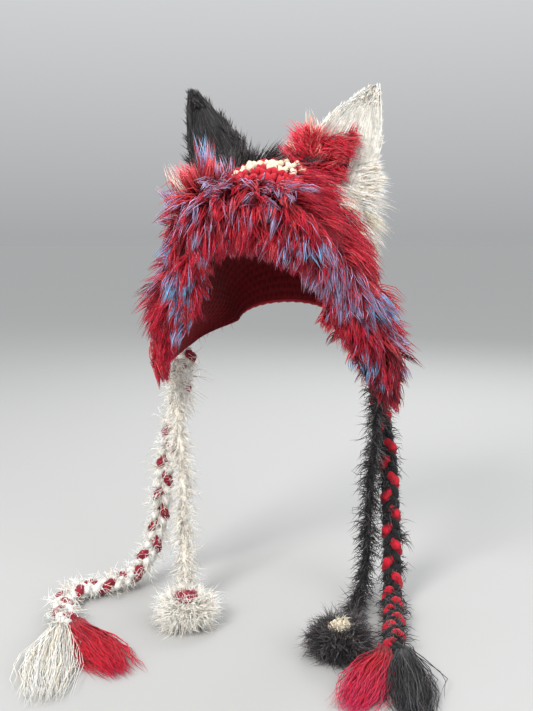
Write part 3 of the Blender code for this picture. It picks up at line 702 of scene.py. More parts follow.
def build_brim():
    """The brim: a backing roll, and locks of long fur in five stretches from the left flap to the right."""
    ends = BRIM_STRETCHES[0], BRIM_STRETCHES[-1]
    u, w = np.meshgrid(np.linspace(*ends, 141), np.linspace(0, 1, 13), indexing="ij")
    points, faces = closed_slab(roll_point(u, w), roll_point(u, w, -0.004))
    new_piece("brim_backing", points, faces, BACKING, ["brim_fur"], MAROON)
    for place, (low, high) in enumerate(zip(BRIM_STRETCHES, BRIM_STRETCHES[1:])):
        count = int(BRIM_LOCKS * (high - low))
        u = draw.uniform(low, high, count)
        w = draw.uniform(0.0, 1.0, count) * brim_width(u)
        here, by_u, by_w = slopes_of(roll_point, u, np.clip(w, 0.02, 0.98))
        normal = unit(np.cross(by_u, by_w))
        way = unit(brim_comb(u, w, normal, by_u, by_w) + draw.normal(scale=0.38, size=(count, 3)))
        bulge = smooth_step(0.45, 0.62, np.abs(u))
        end = np.where(u < 0, smooth_step(0.68, 0.90, -u), smooth_step(0.80, 1.0, u))
        length = FUR_LENGTH * (0.50 + 0.50 * smooth_step(0.0, 0.35, w)) * draw.uniform(0.8, 1.12, count)
        length *= (1 + np.where(u < 0, 0.18, 0.05) * bulge) * (1 - 0.50 * end)
        length *= 1 - 0.20 * (1 - smooth_step(0.0, 0.40, w)) * (1 - smooth_step(0.20, 0.50, np.abs(u)))
        length *= 1 - 0.28 * smooth_step(0.55, 0.8, w) * bell(u, -0.04, 0.16)
        length *= 1 - 0.22 * smooth_step(0.3, 0.6, w) * bell(u, -0.42, 0.10)
        droop = 1.35 - 0.55 * smooth_step(0.6, 1.0, w) * (1 - bulge) - 0.40 * bulge * (1 - end) + 1.6 * end
        lines = combed_locks(here, way, length, droop, BRIM_STRANDS, 0.0064, gather=0.86, stray=0.20, curl=0.22)
        base = blend_of([CRIMSON, MAROON, CORAL, BRIGHT_RED], [0.52, 0.12, 0.14, 0.22], count)
        base[draw.uniform(size=count) < 0.6 * smooth_step(0.74, 0.94, u)] = MAROON
        base[draw.uniform(size=count) < 0.6 * smooth_step(0.66, 0.86, -u)] = BRIGHT_RED
        base = np.repeat(base, BRIM_STRANDS, axis=0)
        tips, shares = (np.repeat(x, BRIM_STRANDS, axis=0) for x in brim_lock_tips(u, w))
        tip = np.where(draw.uniform(size=(len(base), 1)) < shares[:, None], tips, base)
        strand_piece(
            f"brim_fur_{place + 1}", lines, tapered(lines, BRIM_HAIR), shaded(lines, base, tip, painted_root_shade=0.36), FUR,
            ["brim_fur"],
        )


TUFT_COLUMNS = ("u", "w", "way_x", "way_y", "way_z", "length", "colour")
TUFTS = (
    (-0.31, 0.88, -0.40, -0.15, 0.90, 0.040, "white"),
    (-0.33, 0.80, -0.50, -0.25, 0.80, 0.030, "lavender"),
    (-0.28, 0.92, -0.25, -0.15, 0.95, 0.044, "coral"),
    (-0.25, 0.94, -0.08, -0.20, 0.97, 0.056, "sky"),
    (-0.22, 0.88, 0.05, -0.25, 0.95, 0.040, "coral"),
    (-0.27, 0.80, -0.30, -0.45, 0.82, 0.046, "coral"),
    (-0.36, 0.85, -0.60, -0.20, 0.60, 0.020, "sky"),
    (-0.39, 0.80, -0.70, -0.25, 0.15, 0.018, "lavender"),
    (-0.17, 0.86, 0.10, -0.45, 0.80, 0.032, "lavender"),
    (0.02, 0.80, 0.60, -0.55, 0.20, 0.036, "lavender"),
    (-0.03, 0.74, 0.35, -0.75, 0.20, 0.036, "lavender"),
    (-0.14, 0.70, -0.15, -0.80, 0.10, 0.034, "lavender"),
    (0.12, 0.30, 0.10, -0.75, -0.45, 0.044, "sky"),
    (0.165, 0.30, 0.12, -0.75, -0.45, 0.046, "sky"),
    (0.22, 0.42, 0.30, -0.70, -0.35, 0.044, "sky"),
    (0.27, 0.48, 0.45, -0.60, -0.35, 0.042, "lavender"),
    (0.53, 0.62, 0.75, -0.35, -0.50, 0.042, "sky"),
    (-0.47, 0.70, -0.70, -0.40, -0.40, 0.032, "sky"),
    (-0.72, 0.10, -0.20, -0.65, -0.60, 0.040, "sky"),
    (-0.79, 0.06, -0.10, -0.65, -0.65, 0.038, "sky"),
)


def build_tufts():
    """The tall tufts at the brim's top left corner, and the brightest pale locks elsewhere on the brim."""
    rows = rows_of(TUFT_COLUMNS, TUFTS)
    locks, per = 3, 22
    u, w = (np.array([row[key] for row in rows]) for key in ("u", "w"))
    roots = np.repeat(roll_point(u, w, 0.004), locks, axis=0)
    roots = roots + draw.normal(scale=0.004, size=roots.shape)
    ways = np.repeat([[row["way_x"], row["way_y"], row["way_z"]] for row in rows], locks, axis=0)
    ways = unit(ways + draw.normal(scale=0.10, size=ways.shape))
    colours = {"white": CREAM, "lavender": LAVENDER, "coral": CORAL, "sky": SKY}
    lengths = np.repeat([row["length"] for row in rows], locks) * draw.uniform(0.80, 1.15, len(roots))
    lines = combed_locks(roots, ways, lengths, 0.35, per, 0.006, gather=0.78)
    base = blend_of([CRIMSON, CORAL], [0.7, 0.3], len(lines))
    tips = np.repeat(np.array([colours[row["colour"]] for row in rows]), locks * per, axis=0)
    tip = np.where(draw.uniform(size=(len(lines), 1)) < 0.72, tips, base)
    strand_piece(
        "brim_tufts", lines, tapered(lines, TUFT_HAIR), shaded(lines, base, tip), FUR, ["brim_fur"]
    )


def crown_over_roll(u, v):
    """The crown's outside, and the roll's back half where it lies over it."""
    overhang = ROLL_OVERHANG / CROWN_ARC
    w = np.clip((v + overhang) / (roll_reach(u) + overhang), 0, 1)
    return crown_point(u, v, WALL + ROLL_THICKNESS * np.sin(np.pi * w) ** ROLL_ROUNDNESS)


def build_ear(name, side, colours, shares, node):
    """An ear: its shell, silky fur combed up along both of its faces, and wisps out past its edges. The fur sways in
    waves, and is darker in streaks of painted shade between clumps that leave lighter lines of painted sheen, both by
    sines of the place on the ear."""
    looks = dict(zip(EAR_FUR_COLUMNS, EAR_FUR[side]))
    a, b = np.meshgrid(np.linspace(0, 1, 25), np.linspace(0, 1, 21), indexing="ij")
    front = ear_point(side, a, b, -1.0)
    back = ear_point(side, a, b, 1.0)
    points, faces = closed_slab(front, back) if side > 0 else closed_slab(back, front)
    new_piece(name + "_shell", points, faces, FUR, [node], colours[0] * looks["shell_shade"])
    count = 3000
    a = draw.uniform(0, 1, count)
    b = 0.96 * (1 - (1 - draw.uniform(size=count)) ** 0.72)
    slim = 1 - 0.6 * smooth_step(0.60, 1.0, b)
    face = np.where(draw.uniform(size=count) < 0.6, -1.0, 1.0)[:, None]
    if side > 0:
        bare = (face[:, 0] < 0) & (a < 0.50) & (b < 0.36)
        a = np.where(bare, 0.50 + a, a)
    rim = draw.uniform(size=count) < 0.16
    a = np.where(rim, np.round(a), a)
    face = np.where(rim[:, None], draw.uniform(-1, 1, (count, 1)), face)
    s = np.linspace(0, 1, 3)[None]
    rise = np.minimum(0.34 * draw.uniform(0.7, 1.2, count), 1.03 - b)[:, None]
    wave = looks["wave"] * 4 * a * (1 - a) * np.sin(8 * a + 12 * b)
    sway = np.where(rim, 0, wave + 0.16 * (a - 0.5) * (1 - b) + draw.normal(scale=0.03, size=count))[:, None]
    lines = ear_point(side, a[:, None] + sway * s, b[:, None] + rise * s, face)
    lift = 0.0008 + 0.0020 * s * draw.uniform(0.3, 1.0, (count, 1))
    shade_and_sheen_streak = 0.5 + 0.5 * np.sin(150 * a + 5 * np.sin(9 * b))
    lines[..., 1] += face * lift
    lines[..., 0] += side * np.where(a < 0.01, -1, np.where(a > 0.99, 1, 0))[:, None] * lift
    wisps, per = 130, 6
    edge = draw.choice([-1.0, 0.0, 1.0], wisps, p=[0.39, 0.22, 0.39])
    a = 0.5 + np.where(edge == 0, draw.uniform(-0.4, 0.4, wisps), 0.47 * edge)
    b = draw.uniform(0.04, 0.98, wisps)
    b = np.where(edge == 0, 0.80 + 0.17 * b, b)
    here, by_a, by_b = slopes_of(lambda p, q: ear_point(side, p, q, 0.0), a, b)
    here[:, 1] -= 0.004 * (edge == 0)
    out = (0.62 * edge * (1 - 0.5 * b))[:, None]
    way = unit(unit(by_b) + unit(by_a) * out + draw.normal(scale=0.12, size=(wisps, 3)))
    past = combed_locks(
        here, way, looks["wisp"] * (1.15 - 0.75 * b), 0.08, per, 0.005 * (1.1 - b), gather=0.15, stray=0.24, points=3
    )
    lines = np.concatenate([lines, past])
    base = blend_of(colours, shares, len(lines))
    # Painted shade in streaks between combed clumps, with lighter lines of painted sheen between them.
    base[:count] *= (1 - looks["shade_and_sheen_streak"] * shade_and_sheen_streak)[:, None]
    radii = tapered(lines, EAR_HAIR)
    radii[:count] *= slim[:, None]
    tint = shaded(lines, base, base, painted_root_shade=looks["root_shade"], jitter=looks["jitter"])
    strand_piece(name + "_fur", lines, radii, tint, FUR, [node])


def build_fringe():
    """The long fringe down the white ear's outer edge, spread like a fan."""
    count, per = 66, 10
    b = draw.uniform(-0.04, 0.36, count)
    a = draw.uniform(0.72, 1.0, count)
    here = ear_point(1, a, np.clip(b, 0.01, 1), -1.0)
    way = np.stack([np.full(count, 1.0), draw.normal(scale=0.2, size=count) - 0.1, 2.6 * b - 0.55], 1)
    length = 0.054 * (1 - 1.7 * np.clip(b, 0, 1)) * draw.uniform(0.85, 1.15, count)
    lines = combed_locks(here, unit(way), length, 0.35, per, 0.006, gather=0.45)
    base = np.repeat(blend_of([WHITE, CREAM], [0.75, 0.25], count), per, axis=0)
    strand_piece(
        "ear_white_fringe", lines, tapered(lines, FRINGE_HAIR), shaded(lines, base, base, painted_root_shade=0.85, jitter=0.12), FUR,
        ["ear_white"],
    )


def crown_fur(name, count, per, u_span, v_span, way_of, length, droop, colours, shares, painted_root_shade=0.6):
    """Fur on a patch of the crown. way_of gives its way as a sum of the crown's normal and its directions along u
    and v."""
    u = draw.uniform(*u_span, count)
    v = draw.uniform(*v_span, count)
    here, by_u, by_v = slopes_of(crown_over_roll, u, v)
    normal = unit(np.cross(by_u, by_v))
    combed = way_of(normal, unit(by_u), unit(by_v), u[:, None])
    way = unit(combed + draw.normal(scale=0.12, size=(count, 3)))
    lengths = length * draw.uniform(0.75, 1.15, count)
    lines = combed_locks(here, way, lengths, droop, per, 0.006, gather=0.5, stray=0.14)
    base = np.repeat(blend_of(colours, shares, count), per, axis=0)
    strand_piece(name, lines, tapered(lines, CROWN_HAIR), shaded(lines, base, base, painted_root_shade=painted_root_shade), FUR)


def build_ears_and_crown_fur():
    """Both ears, and the fur on the crown round their feet."""
    build_ear("ear_black", -1, [BLACK, SOOT, BLACK * 0.6], [0.5, 0.22, 0.28], "ear_black")
    build_ear("ear_white", 1, [SOFT_WHITE, CREAM, WHITE], [0.7, 0.08, 0.22], "ear_white")
    build_fringe()
    crown_fur(
        "crown_fur_black", 235, 9, (-0.52, 0.09), (0.335, 0.58),
        lambda n, du, dv, u: 0.85 * n + 0.8 * du * np.where(u > -0.25, 1, -1) - 0.25 * dv, 0.037, 0.3,
        [BLACK, SOOT, BLACK * 0.5, MAROON], [0.5, 0.3, 0.15, 0.05],
    )
    crown_fur(
        "crown_fur_cream", 130, 9, (0.22, 0.50), (0.27, 0.46),
        lambda n, du, dv, u: 0.50 * n + 1.0 * du - 0.2 * dv, 0.038, 0.40,
        [CREAM, WHITE, PEACH], [0.5, 0.25, 0.25], painted_root_shade=0.8,
    )
    crown_fur(
        "crown_fur_red", 270, 9, (0.04, 0.60), (0.12, 0.33),
        lambda n, du, dv, u: 0.35 * n + 1.0 * du + 0.05 * dv, 0.040, 0.35,
        [CRIMSON, BRIGHT_RED, CORAL, MAROON], [0.5, 0.25, 0.12, 0.13],
    )
    crown_fur(
        "crown_fur_side", 110, 8, (0.46, 0.80), (0.30, 0.52),
        lambda n, du, dv, u: 0.35 * n + 1.0 * du, 0.036, 0.35,
        [CRIMSON, BRIGHT_RED, CREAM], [0.55, 0.25, 0.20],
    )


def build_ear_tuft():
    """The red tuft inside the white ear, and a strip of maroon strands beside it that paints the shade where the tuft
    meets the white ear. The tuft's locks lie across the ear and turn up and inwards near its inner edge, by a bell."""
    count, per = 240, 8
    a = draw.uniform(-0.08, 0.50, count)
    b = draw.uniform(-0.02, 1.0, count) * (0.32 + 0.22 * smooth_step(0.1, 0.5, a))
    here, by_a, _ = slopes_of(lambda p, q: ear_point(1, p, q, -1.0), np.clip(a, 0.01, 1), np.clip(b, 0.01, 1))
    peak = (bell(a, 0.03, 0.13) * (1 - smooth_step(0.26, 0.36, b)))[:, None]
    across = unit(by_a) * (0.8 - 0.9 * peak - 0.5 * smooth_step(0.34, 0.50, a)[:, None])
    up = np.array([[-0.75, 0, 0.75]]) * peak + np.array([[0, -0.48, 0.38]])
    way = unit(across + up + draw.normal(scale=0.16, size=(count, 3)))
    length = 0.032 * draw.uniform(0.75, 1.2, count) * (1 - 0.35 * smooth_step(0.30, 0.48, a))
    lines = combed_locks(here, way, length, 0.45, per, 0.006, gather=0.72, stray=0.16)
    base = np.repeat(blend_of([CRIMSON, PEACH, CORAL, BRIGHT_RED], [0.22, 0.03, 0.45, 0.30], count), per, axis=0)
    strand_piece(
        "ear_tuft_fur", lines, tapered(lines, LINING_HAIR), shaded(lines, base, base, painted_root_shade=0.78), FUR,
        ["ear_lining"],
    )
    # Maroon strands standing at the tuft's edge: painted shade where the tuft meets the white ear.
    count, per = 20, 9
    b = np.linspace(0.12, 0.42, count)
    here = ear_point(1, np.full(count, 0.55), b, -1.0) + np.array([[0, -0.008, 0]])
    way = np.tile([[0.10, -0.15, 1.0]], (count, 1))
    lines = combed_locks(here, unit(way), 0.020, 0.0, per, 0.004, gather=0.4, stray=0.12)
    base = np.repeat(blend_of([MAROON, CRIMSON], [0.7, 0.3], count), per, axis=0)
    strand_piece(
        "ear_fold_painted_shade_fur", lines, tapered(lines, FRINGE_HAIR), shaded(lines, base, base), FUR, ["ear_lining"]
    )


BOBBLE_ROWS = (
    (0.205, 0.00, "red"), (0.240, 0.50, "red"), (0.275, 0.00, "pale"), (0.312, 0.50, "pale"), (0.350, 0.00, "pale"),
    (0.385, 0.50, "red"),
)


def build_bobbles():
    """The front band of the crown between the ears: rows of V stitches, each of two egg-shaped beads that lean apart,
    every one turned, placed and sized a little differently, with ecru ones among the red, most of them at the right."""
    places, colours = [], []
    for v, shift, kind in BOBBLE_ROWS:
        u = np.arange(*BAND_SPAN, BAND_STEP) + BAND_STEP * shift
        places.append(np.stack([u, np.full(len(u), v)], 1))
        pale = (draw.uniform(size=len(u)) < np.where(u > -0.12, 0.72, 0.30)) & (kind == "pale")
        colours.append(np.where(pale[:, None], ECRU, BRIGHT_RED * 0.8))
    places, colours = np.concatenate(places), np.concatenate(colours)
    stitches = len(places)
    places = places + draw.normal(scale=0.0025, size=places.shape)
    here, by_u, by_v = slopes_of(lambda p, q: crown_point(p, q, WALL + 0.0035), places[:, 0], places[:, 1])
    by_u, by_v = unit(by_u), unit(by_v)
    normal = unit(np.cross(by_u, by_v))
    fan = (np.array([-0.34, 0.34]) + draw.normal(scale=0.12, size=(stitches, 2)))[..., None]
    size = draw.uniform(0.82, 1.15, (stitches, 2, 1, 1))
    ahead = by_v[:, None] * np.cos(fan) + by_u[:, None] * np.sin(fan)
    beside = by_u[:, None] * np.cos(fan) - by_v[:, None] * np.sin(fan)
    middle = here[:, None] + by_u[:, None] * fan * BEAD_APART
    middle = middle + normal[:, None] * draw.normal(scale=0.0006, size=(stitches, 2, 1))
    lat, lon = np.meshgrid(
        np.linspace(-1, 1, BEAD_RINGS) * np.pi / 2, np.linspace(0, 2 * np.pi, BEAD_SIDES, endpoint=False), indexing="ij"
    )
    thick = np.cos(lat) ** 0.75 * (0.80 - 0.22 * np.sin(lat))
    shape = [x.ravel()[None, None, :, None] for x in (np.sin(lat), thick * np.cos(lon), thick * np.sin(lon))]
    points = middle[:, :, None] + size * (
        ahead[:, :, None] * shape[0] * BEAD_LENGTH + beside[:, :, None] * shape[1] * BEAD_WIDTH
        + normal[:, None, None] * shape[2] * BEAD_HEIGHT
    )
    faces = grid_faces(BEAD_RINGS, BEAD_SIDES, around_columns=True)
    faces = (faces[None] + lat.size * np.arange(stitches * 2)[:, None, None]).reshape(-1, 4)
    # Painted shade: each bead is darker towards its two ends, where it tucks into the fabric.
    tint = np.repeat(colours, 2 * lat.size, axis=0) * np.tile(0.45 + 0.55 * np.cos(lat.ravel()), stitches * 2)[:, None]
    new_piece("crochet_band", points.reshape(-1, 3), faces, WOOL, ["crown"], tint, weld=True)


def even_route(route, count):
    """Points evenly spaced on the smooth curve through a route's points."""
    fine = along_table(route, np.linspace(0, 1, 600))
    run = np.concatenate([[0], np.cumsum(np.linalg.norm(np.diff(fine, axis=0), axis=1))])
    places = np.linspace(0, run[-1], count)
    return np.stack([np.interp(places, run, fine[:, k]) for k in range(3)], 1), places


def braid_line(route, turn, count):
    """One of a braid's three strands: across the route by a sine, and towards its face by a sine twice as fast."""
    line, run = even_route(route, count)
    side, over = cross_axes(unit(np.gradient(line, axis=0)))
    phase = 2 * np.pi * (run / BRAID_PITCH + turn)
    swing = 0.29 * BRAID_DIAMETER * np.sin(phase)[:, None]
    depth = 0.15 * BRAID_DIAMETER * np.sin(2 * phase)[:, None]
    return line + side * swing + over * depth, run


def build_fluff(name, middles, core, count, length, colours, node, per=3):
    """Wispy hair out of a tie on all sides, most of it short. Each hair starts on a round core about one of the
    middle lines, sets out sideways and a little along it, and turns to the ground, where it stops."""
    which, spot = draw.integers(0, len(middles), count), draw.integers(2, middles.shape[1] - 2, count)
    axis = unit(np.gradient(middles, axis=1))[which, spot]
    side, over = cross_axes(axis)
    angle = draw.uniform(0, 2 * np.pi, (count, 1))
    out = side * np.cos(angle) + over * np.sin(angle)
    way = unit(out + axis * draw.uniform(-0.1, 0.9, (count, 1)))
    lengths = length * (0.40 + 0.80 * draw.uniform(size=count) ** 1.5)
    lines = above_floor(combed_locks(
        middles[which, spot] + out * core, way, lengths, 0.8, per, 0.003, gather=0.2, stray=0.4, curl=0.9, points=3
    ))
    base = np.repeat(blend_of(colours, FLUFF_SHARES, count), per, axis=0)
    return strand_piece(
        name, lines, tapered(lines, FLUFF_HAIR), shaded(lines, base, base, painted_root_shade=0.88, jitter=0.12), FUR, [node]
    )


def build_braid(name, route, colours, node, fluff):
    """A three-strand braid: one strand of chunky crochet and two of fluffy yarn, each with knobs along it."""
    count, sides = 230, BRAID_SIDES
    points, faces, tints = [], [], []
    for index in range(3):
        line, run = braid_line(route, index / 3, count)
        knob = np.abs(np.sin(np.pi * run / KNOB_STEP))
        ends = np.sqrt(np.clip(np.minimum(run, run[-1] - run) / 0.004, 0.0, 1.0))
        ring, quads = tube(line, (CROCHET_STRAND if index == 0 else FLUFFY_STRAND) * (0.82 + 0.30 * knob) * ends, sides)
        points.append(ring.reshape(-1, 3))
        faces.append(quads + index * count * sides)
        shade = (0.55 + 0.45 * knob)[:, None, None] * (0.85 + 0.15 * np.cos(np.arange(sides) * np.pi))[None, :, None]
        tints.append((colours[min(index, 1)] * shade).reshape(-1, 3))
    braid = new_piece(
        name, np.concatenate(points), np.concatenate(faces), WOOL, [node], np.concatenate(tints), weld=True
    )
    middles = np.stack([braid_line(route, index / 3, 400)[0] for index in (1, 2)])
    fuzz = build_fluff(name + "_fluff", middles, 0.0034, 940, fluff, colours[1:], node)
    return braid, fuzz, even_route(route, 120)[0]


def build_cord(name, route, colours, node, fluff):
    """A fluffy round cord: a core with two wound ridges, and its fluff."""
    count, sides = 180, BRAID_SIDES
    line, run = even_route(route, count)
    side, over = cross_axes(unit(np.gradient(line, axis=0)))
    angle = np.linspace(0, 2 * np.pi, sides, endpoint=False)[None]
    ends = np.sqrt(np.clip(np.minimum(run, run[-1] - run) / 0.003, 0.0, 1.0))[:, None]
    radius = CORD_DIAMETER * (0.42 + 0.06 * np.cos(2 * (angle - 2 * np.pi * run[:, None] / CORD_WIND))) * ends
    points = line[:, None] + (
        side[:, None] * np.cos(angle)[..., None] + over[:, None] * np.sin(angle)[..., None]
    ) * radius[..., None]
    faces = grid_faces(count, sides, around_columns=True)[:, ::-1]
    cord = new_piece(name, points.reshape(-1, 3), faces, WOOL, [node], colours[0] * 0.85, weld=True)
    middles = even_route(route, 400)[0][None]
    fuzz = build_fluff(name + "_fluff", middles, 0.0036, 900, fluff, colours, node)
    return cord, fuzz


def build_plume(name, route, heading, across, length, count, base, tip, node):
    """A plume: long strands that leave a braid's end together, turn to the plume's heading, spread sideways by a
    sine and lie on the surface in a low heap."""
    line, _ = even_route(route, 200)
    end = line[-1]
    flat = unit((line[-1] - line[-3]) * (1, 1, 0))
    beside = np.array([-flat[1], flat[0], 0.0])
    heading = unit(np.array([*heading, 0.0]))
    level = np.array([-heading[1], heading[0], 0.0])
    s = np.linspace(0, 1, 6)[None, :, None]
    own = length * draw.uniform(0.58, 1.0, (count, 1, 1))
    fan = draw.normal(scale=0.36, size=(count, 1, 1))
    rise = np.abs(draw.normal(scale=0.55, size=(count, 1, 1)))
    start = end + beside * across + draw.normal(scale=0.0030, size=(count, 1, 3)) - flat * 0.004
    turn = smooth_step(0.0, 0.45, s)
    middle = start + own * s * (flat * (1 - turn) + heading * turn)
    swell = np.sin(np.pi * np.clip(0.10 + 0.62 * s, 0, 1)) * smooth_step(0.0, 0.30, s)
    wave = draw.uniform(0.001, 0.006, (count, 1, 1)) * np.sin(11 * s + draw.uniform(0, 2 * np.pi, (count, 1, 1))) * s
    lines = middle + level * (0.026 * fan * swell + wave)
    lines[..., 2:] = (
        FLOOR + 0.0008 + 0.013 * rise * swell * (1 - 0.6 * s) + (end[2] - FLOOR) * (1 - smooth_step(0.0, 0.4, s))
        + np.abs(draw.normal(scale=0.0012, size=(count, 1, 1)))
    )
    root, end_tint = blend_of(base, [0.7, 0.3], count), blend_of(tip, [0.7, 0.3], count)
    return strand_piece(
        name, lines, tapered(lines, PLUME_HAIR), shaded(lines, root, end_tint, painted_root_shade=0.75), FUR, [node]
    )


def build_rosette(name, colours, centre_colour, drift):
    """A fluffy rosette: a round core, wispy fur out of it on all sides, and a crocheted centre with an inner round of
    five puffed stitches and an outer round of nine."""
    low, high = (np.array(x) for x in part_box(name))
    centre_low, centre_high = (np.array(x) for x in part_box(name + "_centre"))
    half = (centre_low[2] - low[2]) / 2
    centre = np.append((centre_low[:2] + centre_high[:2]) / 2, low[2] + half)
    lat, lon = np.meshgrid(
        np.linspace(-np.pi / 2, np.pi / 2, 13), np.linspace(0, 2 * np.pi, 28, endpoint=False), indexing="ij"
    )
    reach = ROSETTE_RADIUS * np.cos(lat)
    points = centre + np.stack([reach * np.cos(lon), reach * np.sin(lon), half * np.sin(lat)], -1)
    faces = grid_faces(13, 28, around_columns=True)[:, ::-1]
    core = new_piece(name + "_core", points.reshape(-1, 3), faces, FUR, [name], colours[0] * 0.8, weld=True)
    count, per = 330, 8
    lon = draw.uniform(0, 2 * np.pi, count)
    lat = np.arcsin(draw.uniform(-0.45, 0.84, count))
    out = np.stack([np.cos(lat) * np.cos(lon), np.cos(lat) * np.sin(lon), np.sin(lat)], 1)
    way = unit(out * (1, 1, 0.8) + np.outer(0.15 + 0.35 * np.maximum(out[:, 1], 0), (0, 0, 1)))
    roots = centre + out * (ROSETTE_RADIUS * 0.9, ROSETTE_RADIUS * 0.9, half)
    lengths = ROSETTE_FUR * draw.uniform(0.6, 1.15, count)
    lines = above_floor(combed_locks(
        roots, way, lengths, 0.62, per, 0.005, gather=0.2, stray=0.58, curl=0.9, points=3
    ))
    base = np.repeat(blend_of(colours, FLUFF_SHARES, count), per, axis=0)
    radii = tapered(lines, ROSETTE_HAIR)
    tint = shaded(lines, base, base, painted_root_shade=0.92, jitter=0.10)
    fur = strand_piece(name + "_fur", lines, radii, tint, FUR, [name])
    halo, per = 44, 5
    turn = draw.uniform(0, 2 * np.pi, halo)
    round_about = np.stack([np.cos(turn), np.sin(turn), np.full(halo, 0.35)], 1)
    place = np.append(centre[:2], centre_high[2] - 0.003) + round_about * (0.006, 0.006, 0)
    lines = combed_locks(
        place, unit(round_about + np.array(drift)), 0.011 * draw.uniform(0.6, 1.2, halo), 0.5, per, 0.003, gather=0.2,
        stray=0.4, curl=0.8, points=3,
    )
    base = np.repeat(blend_of([centre_colour, centre_colour * 0.85], [0.6, 0.4], halo), per, axis=0)
    wisps = strand_piece(
        name + "_centre_fluff", lines, tapered(lines, CENTRE_HAIR), shaded(lines, base, base, painted_root_shade=0.9, jitter=0.1),
        FUR, [name + "_centre"],
    )
    rounds = np.append(np.linspace(0, 1, 19), 0.0)
    ring, spot = np.meshgrid(rounds, np.linspace(0, 2 * np.pi, 64, endpoint=False), indexing="ij")
    wide = (centre_high[0] - centre_low[0]) / 2
    tall = centre_high[2] - centre_low[2]
    inner = np.sqrt(np.abs(np.sin(2.5 * spot))) * np.sin(np.pi * np.clip((ring - 0.12) / 0.38, 0, 1))
    outer = np.sqrt(np.abs(np.sin(4.5 * spot + 0.6))) * np.sin(np.pi * np.clip((ring - 0.48) / 0.52, 0, 1))
    relief = np.maximum(inner, outer)
    points = centre * (1, 1, 0) + np.stack([
        wide * ring * np.cos(spot), wide * ring * np.sin(spot),
        centre_low[2] + tall * (0.35 * (1 - ring**2) + 0.62 * relief),
    ], -1)
    points[-1, :, 2] = centre_low[2] - 0.001
    # Painted shade: the centre is darker in the hollows between its puffed stitches.
    tint = centre_colour * (0.45 + 0.55 * relief[..., None])
    bead = new_piece(
        name + "_stitches", points.reshape(-1, 3), grid_faces(20, 64, around_columns=True), WOOL,
        [name + "_centre"], tint.reshape(-1, 3), weld=True,
    )
    return core, fur, wisps, bead


def build_ties():
    """All four ties with what is on their ends."""
    braid, fluff, path = build_braid(
        "braid_white_strands", WHITE_BRAID_ROUTE, [DARK_RED, WHITE, CREAM, WHITE * 0.9], "braid_white",
        0.031,
    )
    white = build_plume(
        "tassel_white_yarn", WHITE_BRAID_ROUTE, (0.30, -0.95), -0.0095, 0.140, 860, [WHITE, CREAM], [WHITE, CREAM],
        "tassel_white",
    )
    red = build_plume(
        "tassel_red_left_yarn", WHITE_BRAID_ROUTE, (0.68, -0.73), 0.0095, 0.118, 700, [CRIMSON, DARK_RED],
        [CRIMSON, BRIGHT_RED], "tassel_red_left",
    )
    braid, fluff, path = build_braid(
        "braid_black_strands", BLACK_BRAID_ROUTE, [BRIGHT_RED, BLACK, SOOT, BLACK * 0.6], "braid_black",
        0.022,
    )
    red = build_plume(
        "tassel_red_right_yarn", BLACK_BRAID_ROUTE, (-0.25, -0.97), -0.0095, 0.112, 700, [CRIMSON, BRIGHT_RED],
        [RASPBERRY, BRIGHT_RED], "tassel_red_right",
    )
    black = build_plume(
        "tassel_black_yarn", BLACK_BRAID_ROUTE, (0.09, -0.99), 0.0095, 0.118, 720, [BLACK, SOOT], [BLACK, SOOT],
        "tassel_black",
    )
    for name, route, length, colours, centre, centre_slot, drift in (
        (
            "white", WHITE_CORD_ROUTE, WHITE_CORD_LENGTH, [SOFT_WHITE, WHITE, SOFT_WHITE * 0.92], ROSE, "rose_yarn",
            (-0.3, -0.3, 0),
        ),
        ("black", BLACK_CORD_ROUTE, BLACK_CORD_LENGTH, [BLACK, SOOT, BLACK * 0.6], ECRU, "ecru_yarn", (1.2, -0.4, 0)),
    ):
        cord, fluff = build_cord(f"cord_{name}_core", route, colours, f"cord_{name}", CORD_FLUFF)
        pieces = build_rosette(f"rosette_{name}", colours, centre, drift)


def plain_finish(name, colour, roughness):
    """A plain matt surface with a faint mottle."""
    made, nodes, links, shader = finish_nodes(name)
    place = nodes.new("ShaderNodeTexCoord")
    noise = nodes.new("ShaderNodeTexNoise")
    noise.inputs["Scale"].default_value = 6.0
    ramp = nodes.new("ShaderNodeMapRange")
    ramp.inputs["To Min"].default_value = roughness - 0.05
    ramp.inputs["To Max"].default_value = roughness + 0.05
    links.new(place.outputs["Object"], noise.inputs["Vector"])
    links.new(noise.outputs["Fac"], ramp.inputs["Value"])
    links.new(ramp.outputs["Result"], shader.inputs["Roughness"])
    shader.inputs["Base Color"].default_value = (*colour, 1.0)
    return made


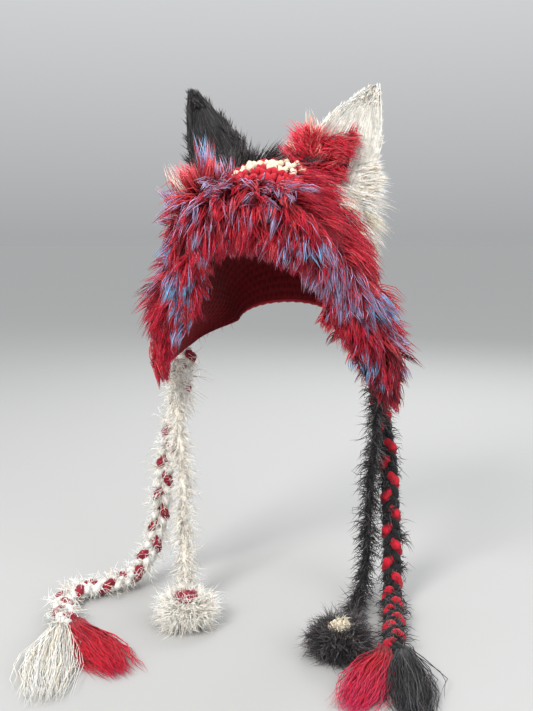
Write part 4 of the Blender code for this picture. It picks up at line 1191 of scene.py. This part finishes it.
def build_stage():
    """A pale floor, and soft light from the front left, the right and behind, under an even pale sky."""
    mesh = bpy.data.meshes.new("floor")
    half = 30.0
    mesh.from_pydata(
        [(-half, -half, FLOOR), (half, -half, FLOOR), (half, half, FLOOR), (-half, half, FLOOR)], [], [(0, 1, 2, 3)]
    )
    floor = bpy.data.objects.new("floor", mesh)
    bpy.context.scene.collection.objects.link(floor)
    mesh.materials.append(plain_finish("pale_floor", FLOOR_COLOUR, 0.8))
    for row in rows_of(LIGHT_COLUMNS, LIGHTS):
        light = bpy.data.lights.new(row["name"], "AREA")
        light.size = row["size"]
        light.energy = row["power"]
        light.color = row["colour"]
        lamp = bpy.data.objects.new(row["name"], light)
        lamp.location = row["place"]
        aim = np.array(LIGHT_AIM) - np.array(row["place"])
        lamp.rotation_euler = (
            math.atan2(math.hypot(aim[0], aim[1]), -aim[2]), 0.0, math.atan2(aim[1], aim[0]) - math.pi / 2
        )
        bpy.context.scene.collection.objects.link(lamp)
    world = bpy.data.worlds.new("studio")
    world.use_nodes = True
    nodes, links = world.node_tree.nodes, world.node_tree.links
    heading = nodes.new("ShaderNodeTexCoord")
    parts = nodes.new("ShaderNodeSeparateXYZ")
    level = nodes.new("ShaderNodeMapRange")
    level.inputs["From Min"].default_value = 0.0
    level.inputs["From Max"].default_value = 0.6
    level.inputs["To Min"].default_value, level.inputs["To Max"].default_value = SKY_LEVEL
    links.new(heading.outputs["Generated"], parts.inputs["Vector"])
    links.new(parts.outputs["Z"], level.inputs["Value"])
    links.new(level.outputs["Result"], nodes["Background"].inputs["Strength"])
    nodes["Background"].inputs["Color"].default_value = SKY_COLOUR
    bpy.context.scene.world = world
    bpy.context.scene.view_settings.view_transform = "Standard"


def build_camera():
    """The photograph's viewpoint."""
    data = bpy.data.cameras.new("camera")
    data.sensor_fit = "VERTICAL"
    data.sensor_height = SENSOR_HEIGHT
    data.lens = CAMERA_LENS
    camera = bpy.data.objects.new("camera", data)
    camera.location = CAMERA_PLACE
    camera.rotation_euler = (math.radians(90 - CAMERA_PITCH), 0.0, math.radians(CAMERA_YAW))
    bpy.context.scene.collection.objects.link(camera)
    bpy.context.scene.camera = camera


build_camera()
build_ties()
build_stage()
build_crown()
build_brim()
build_tufts()
build_ears_and_crown_fur()
build_ear_tuft()
build_bobbles()
bpy.context.view_layer.update()
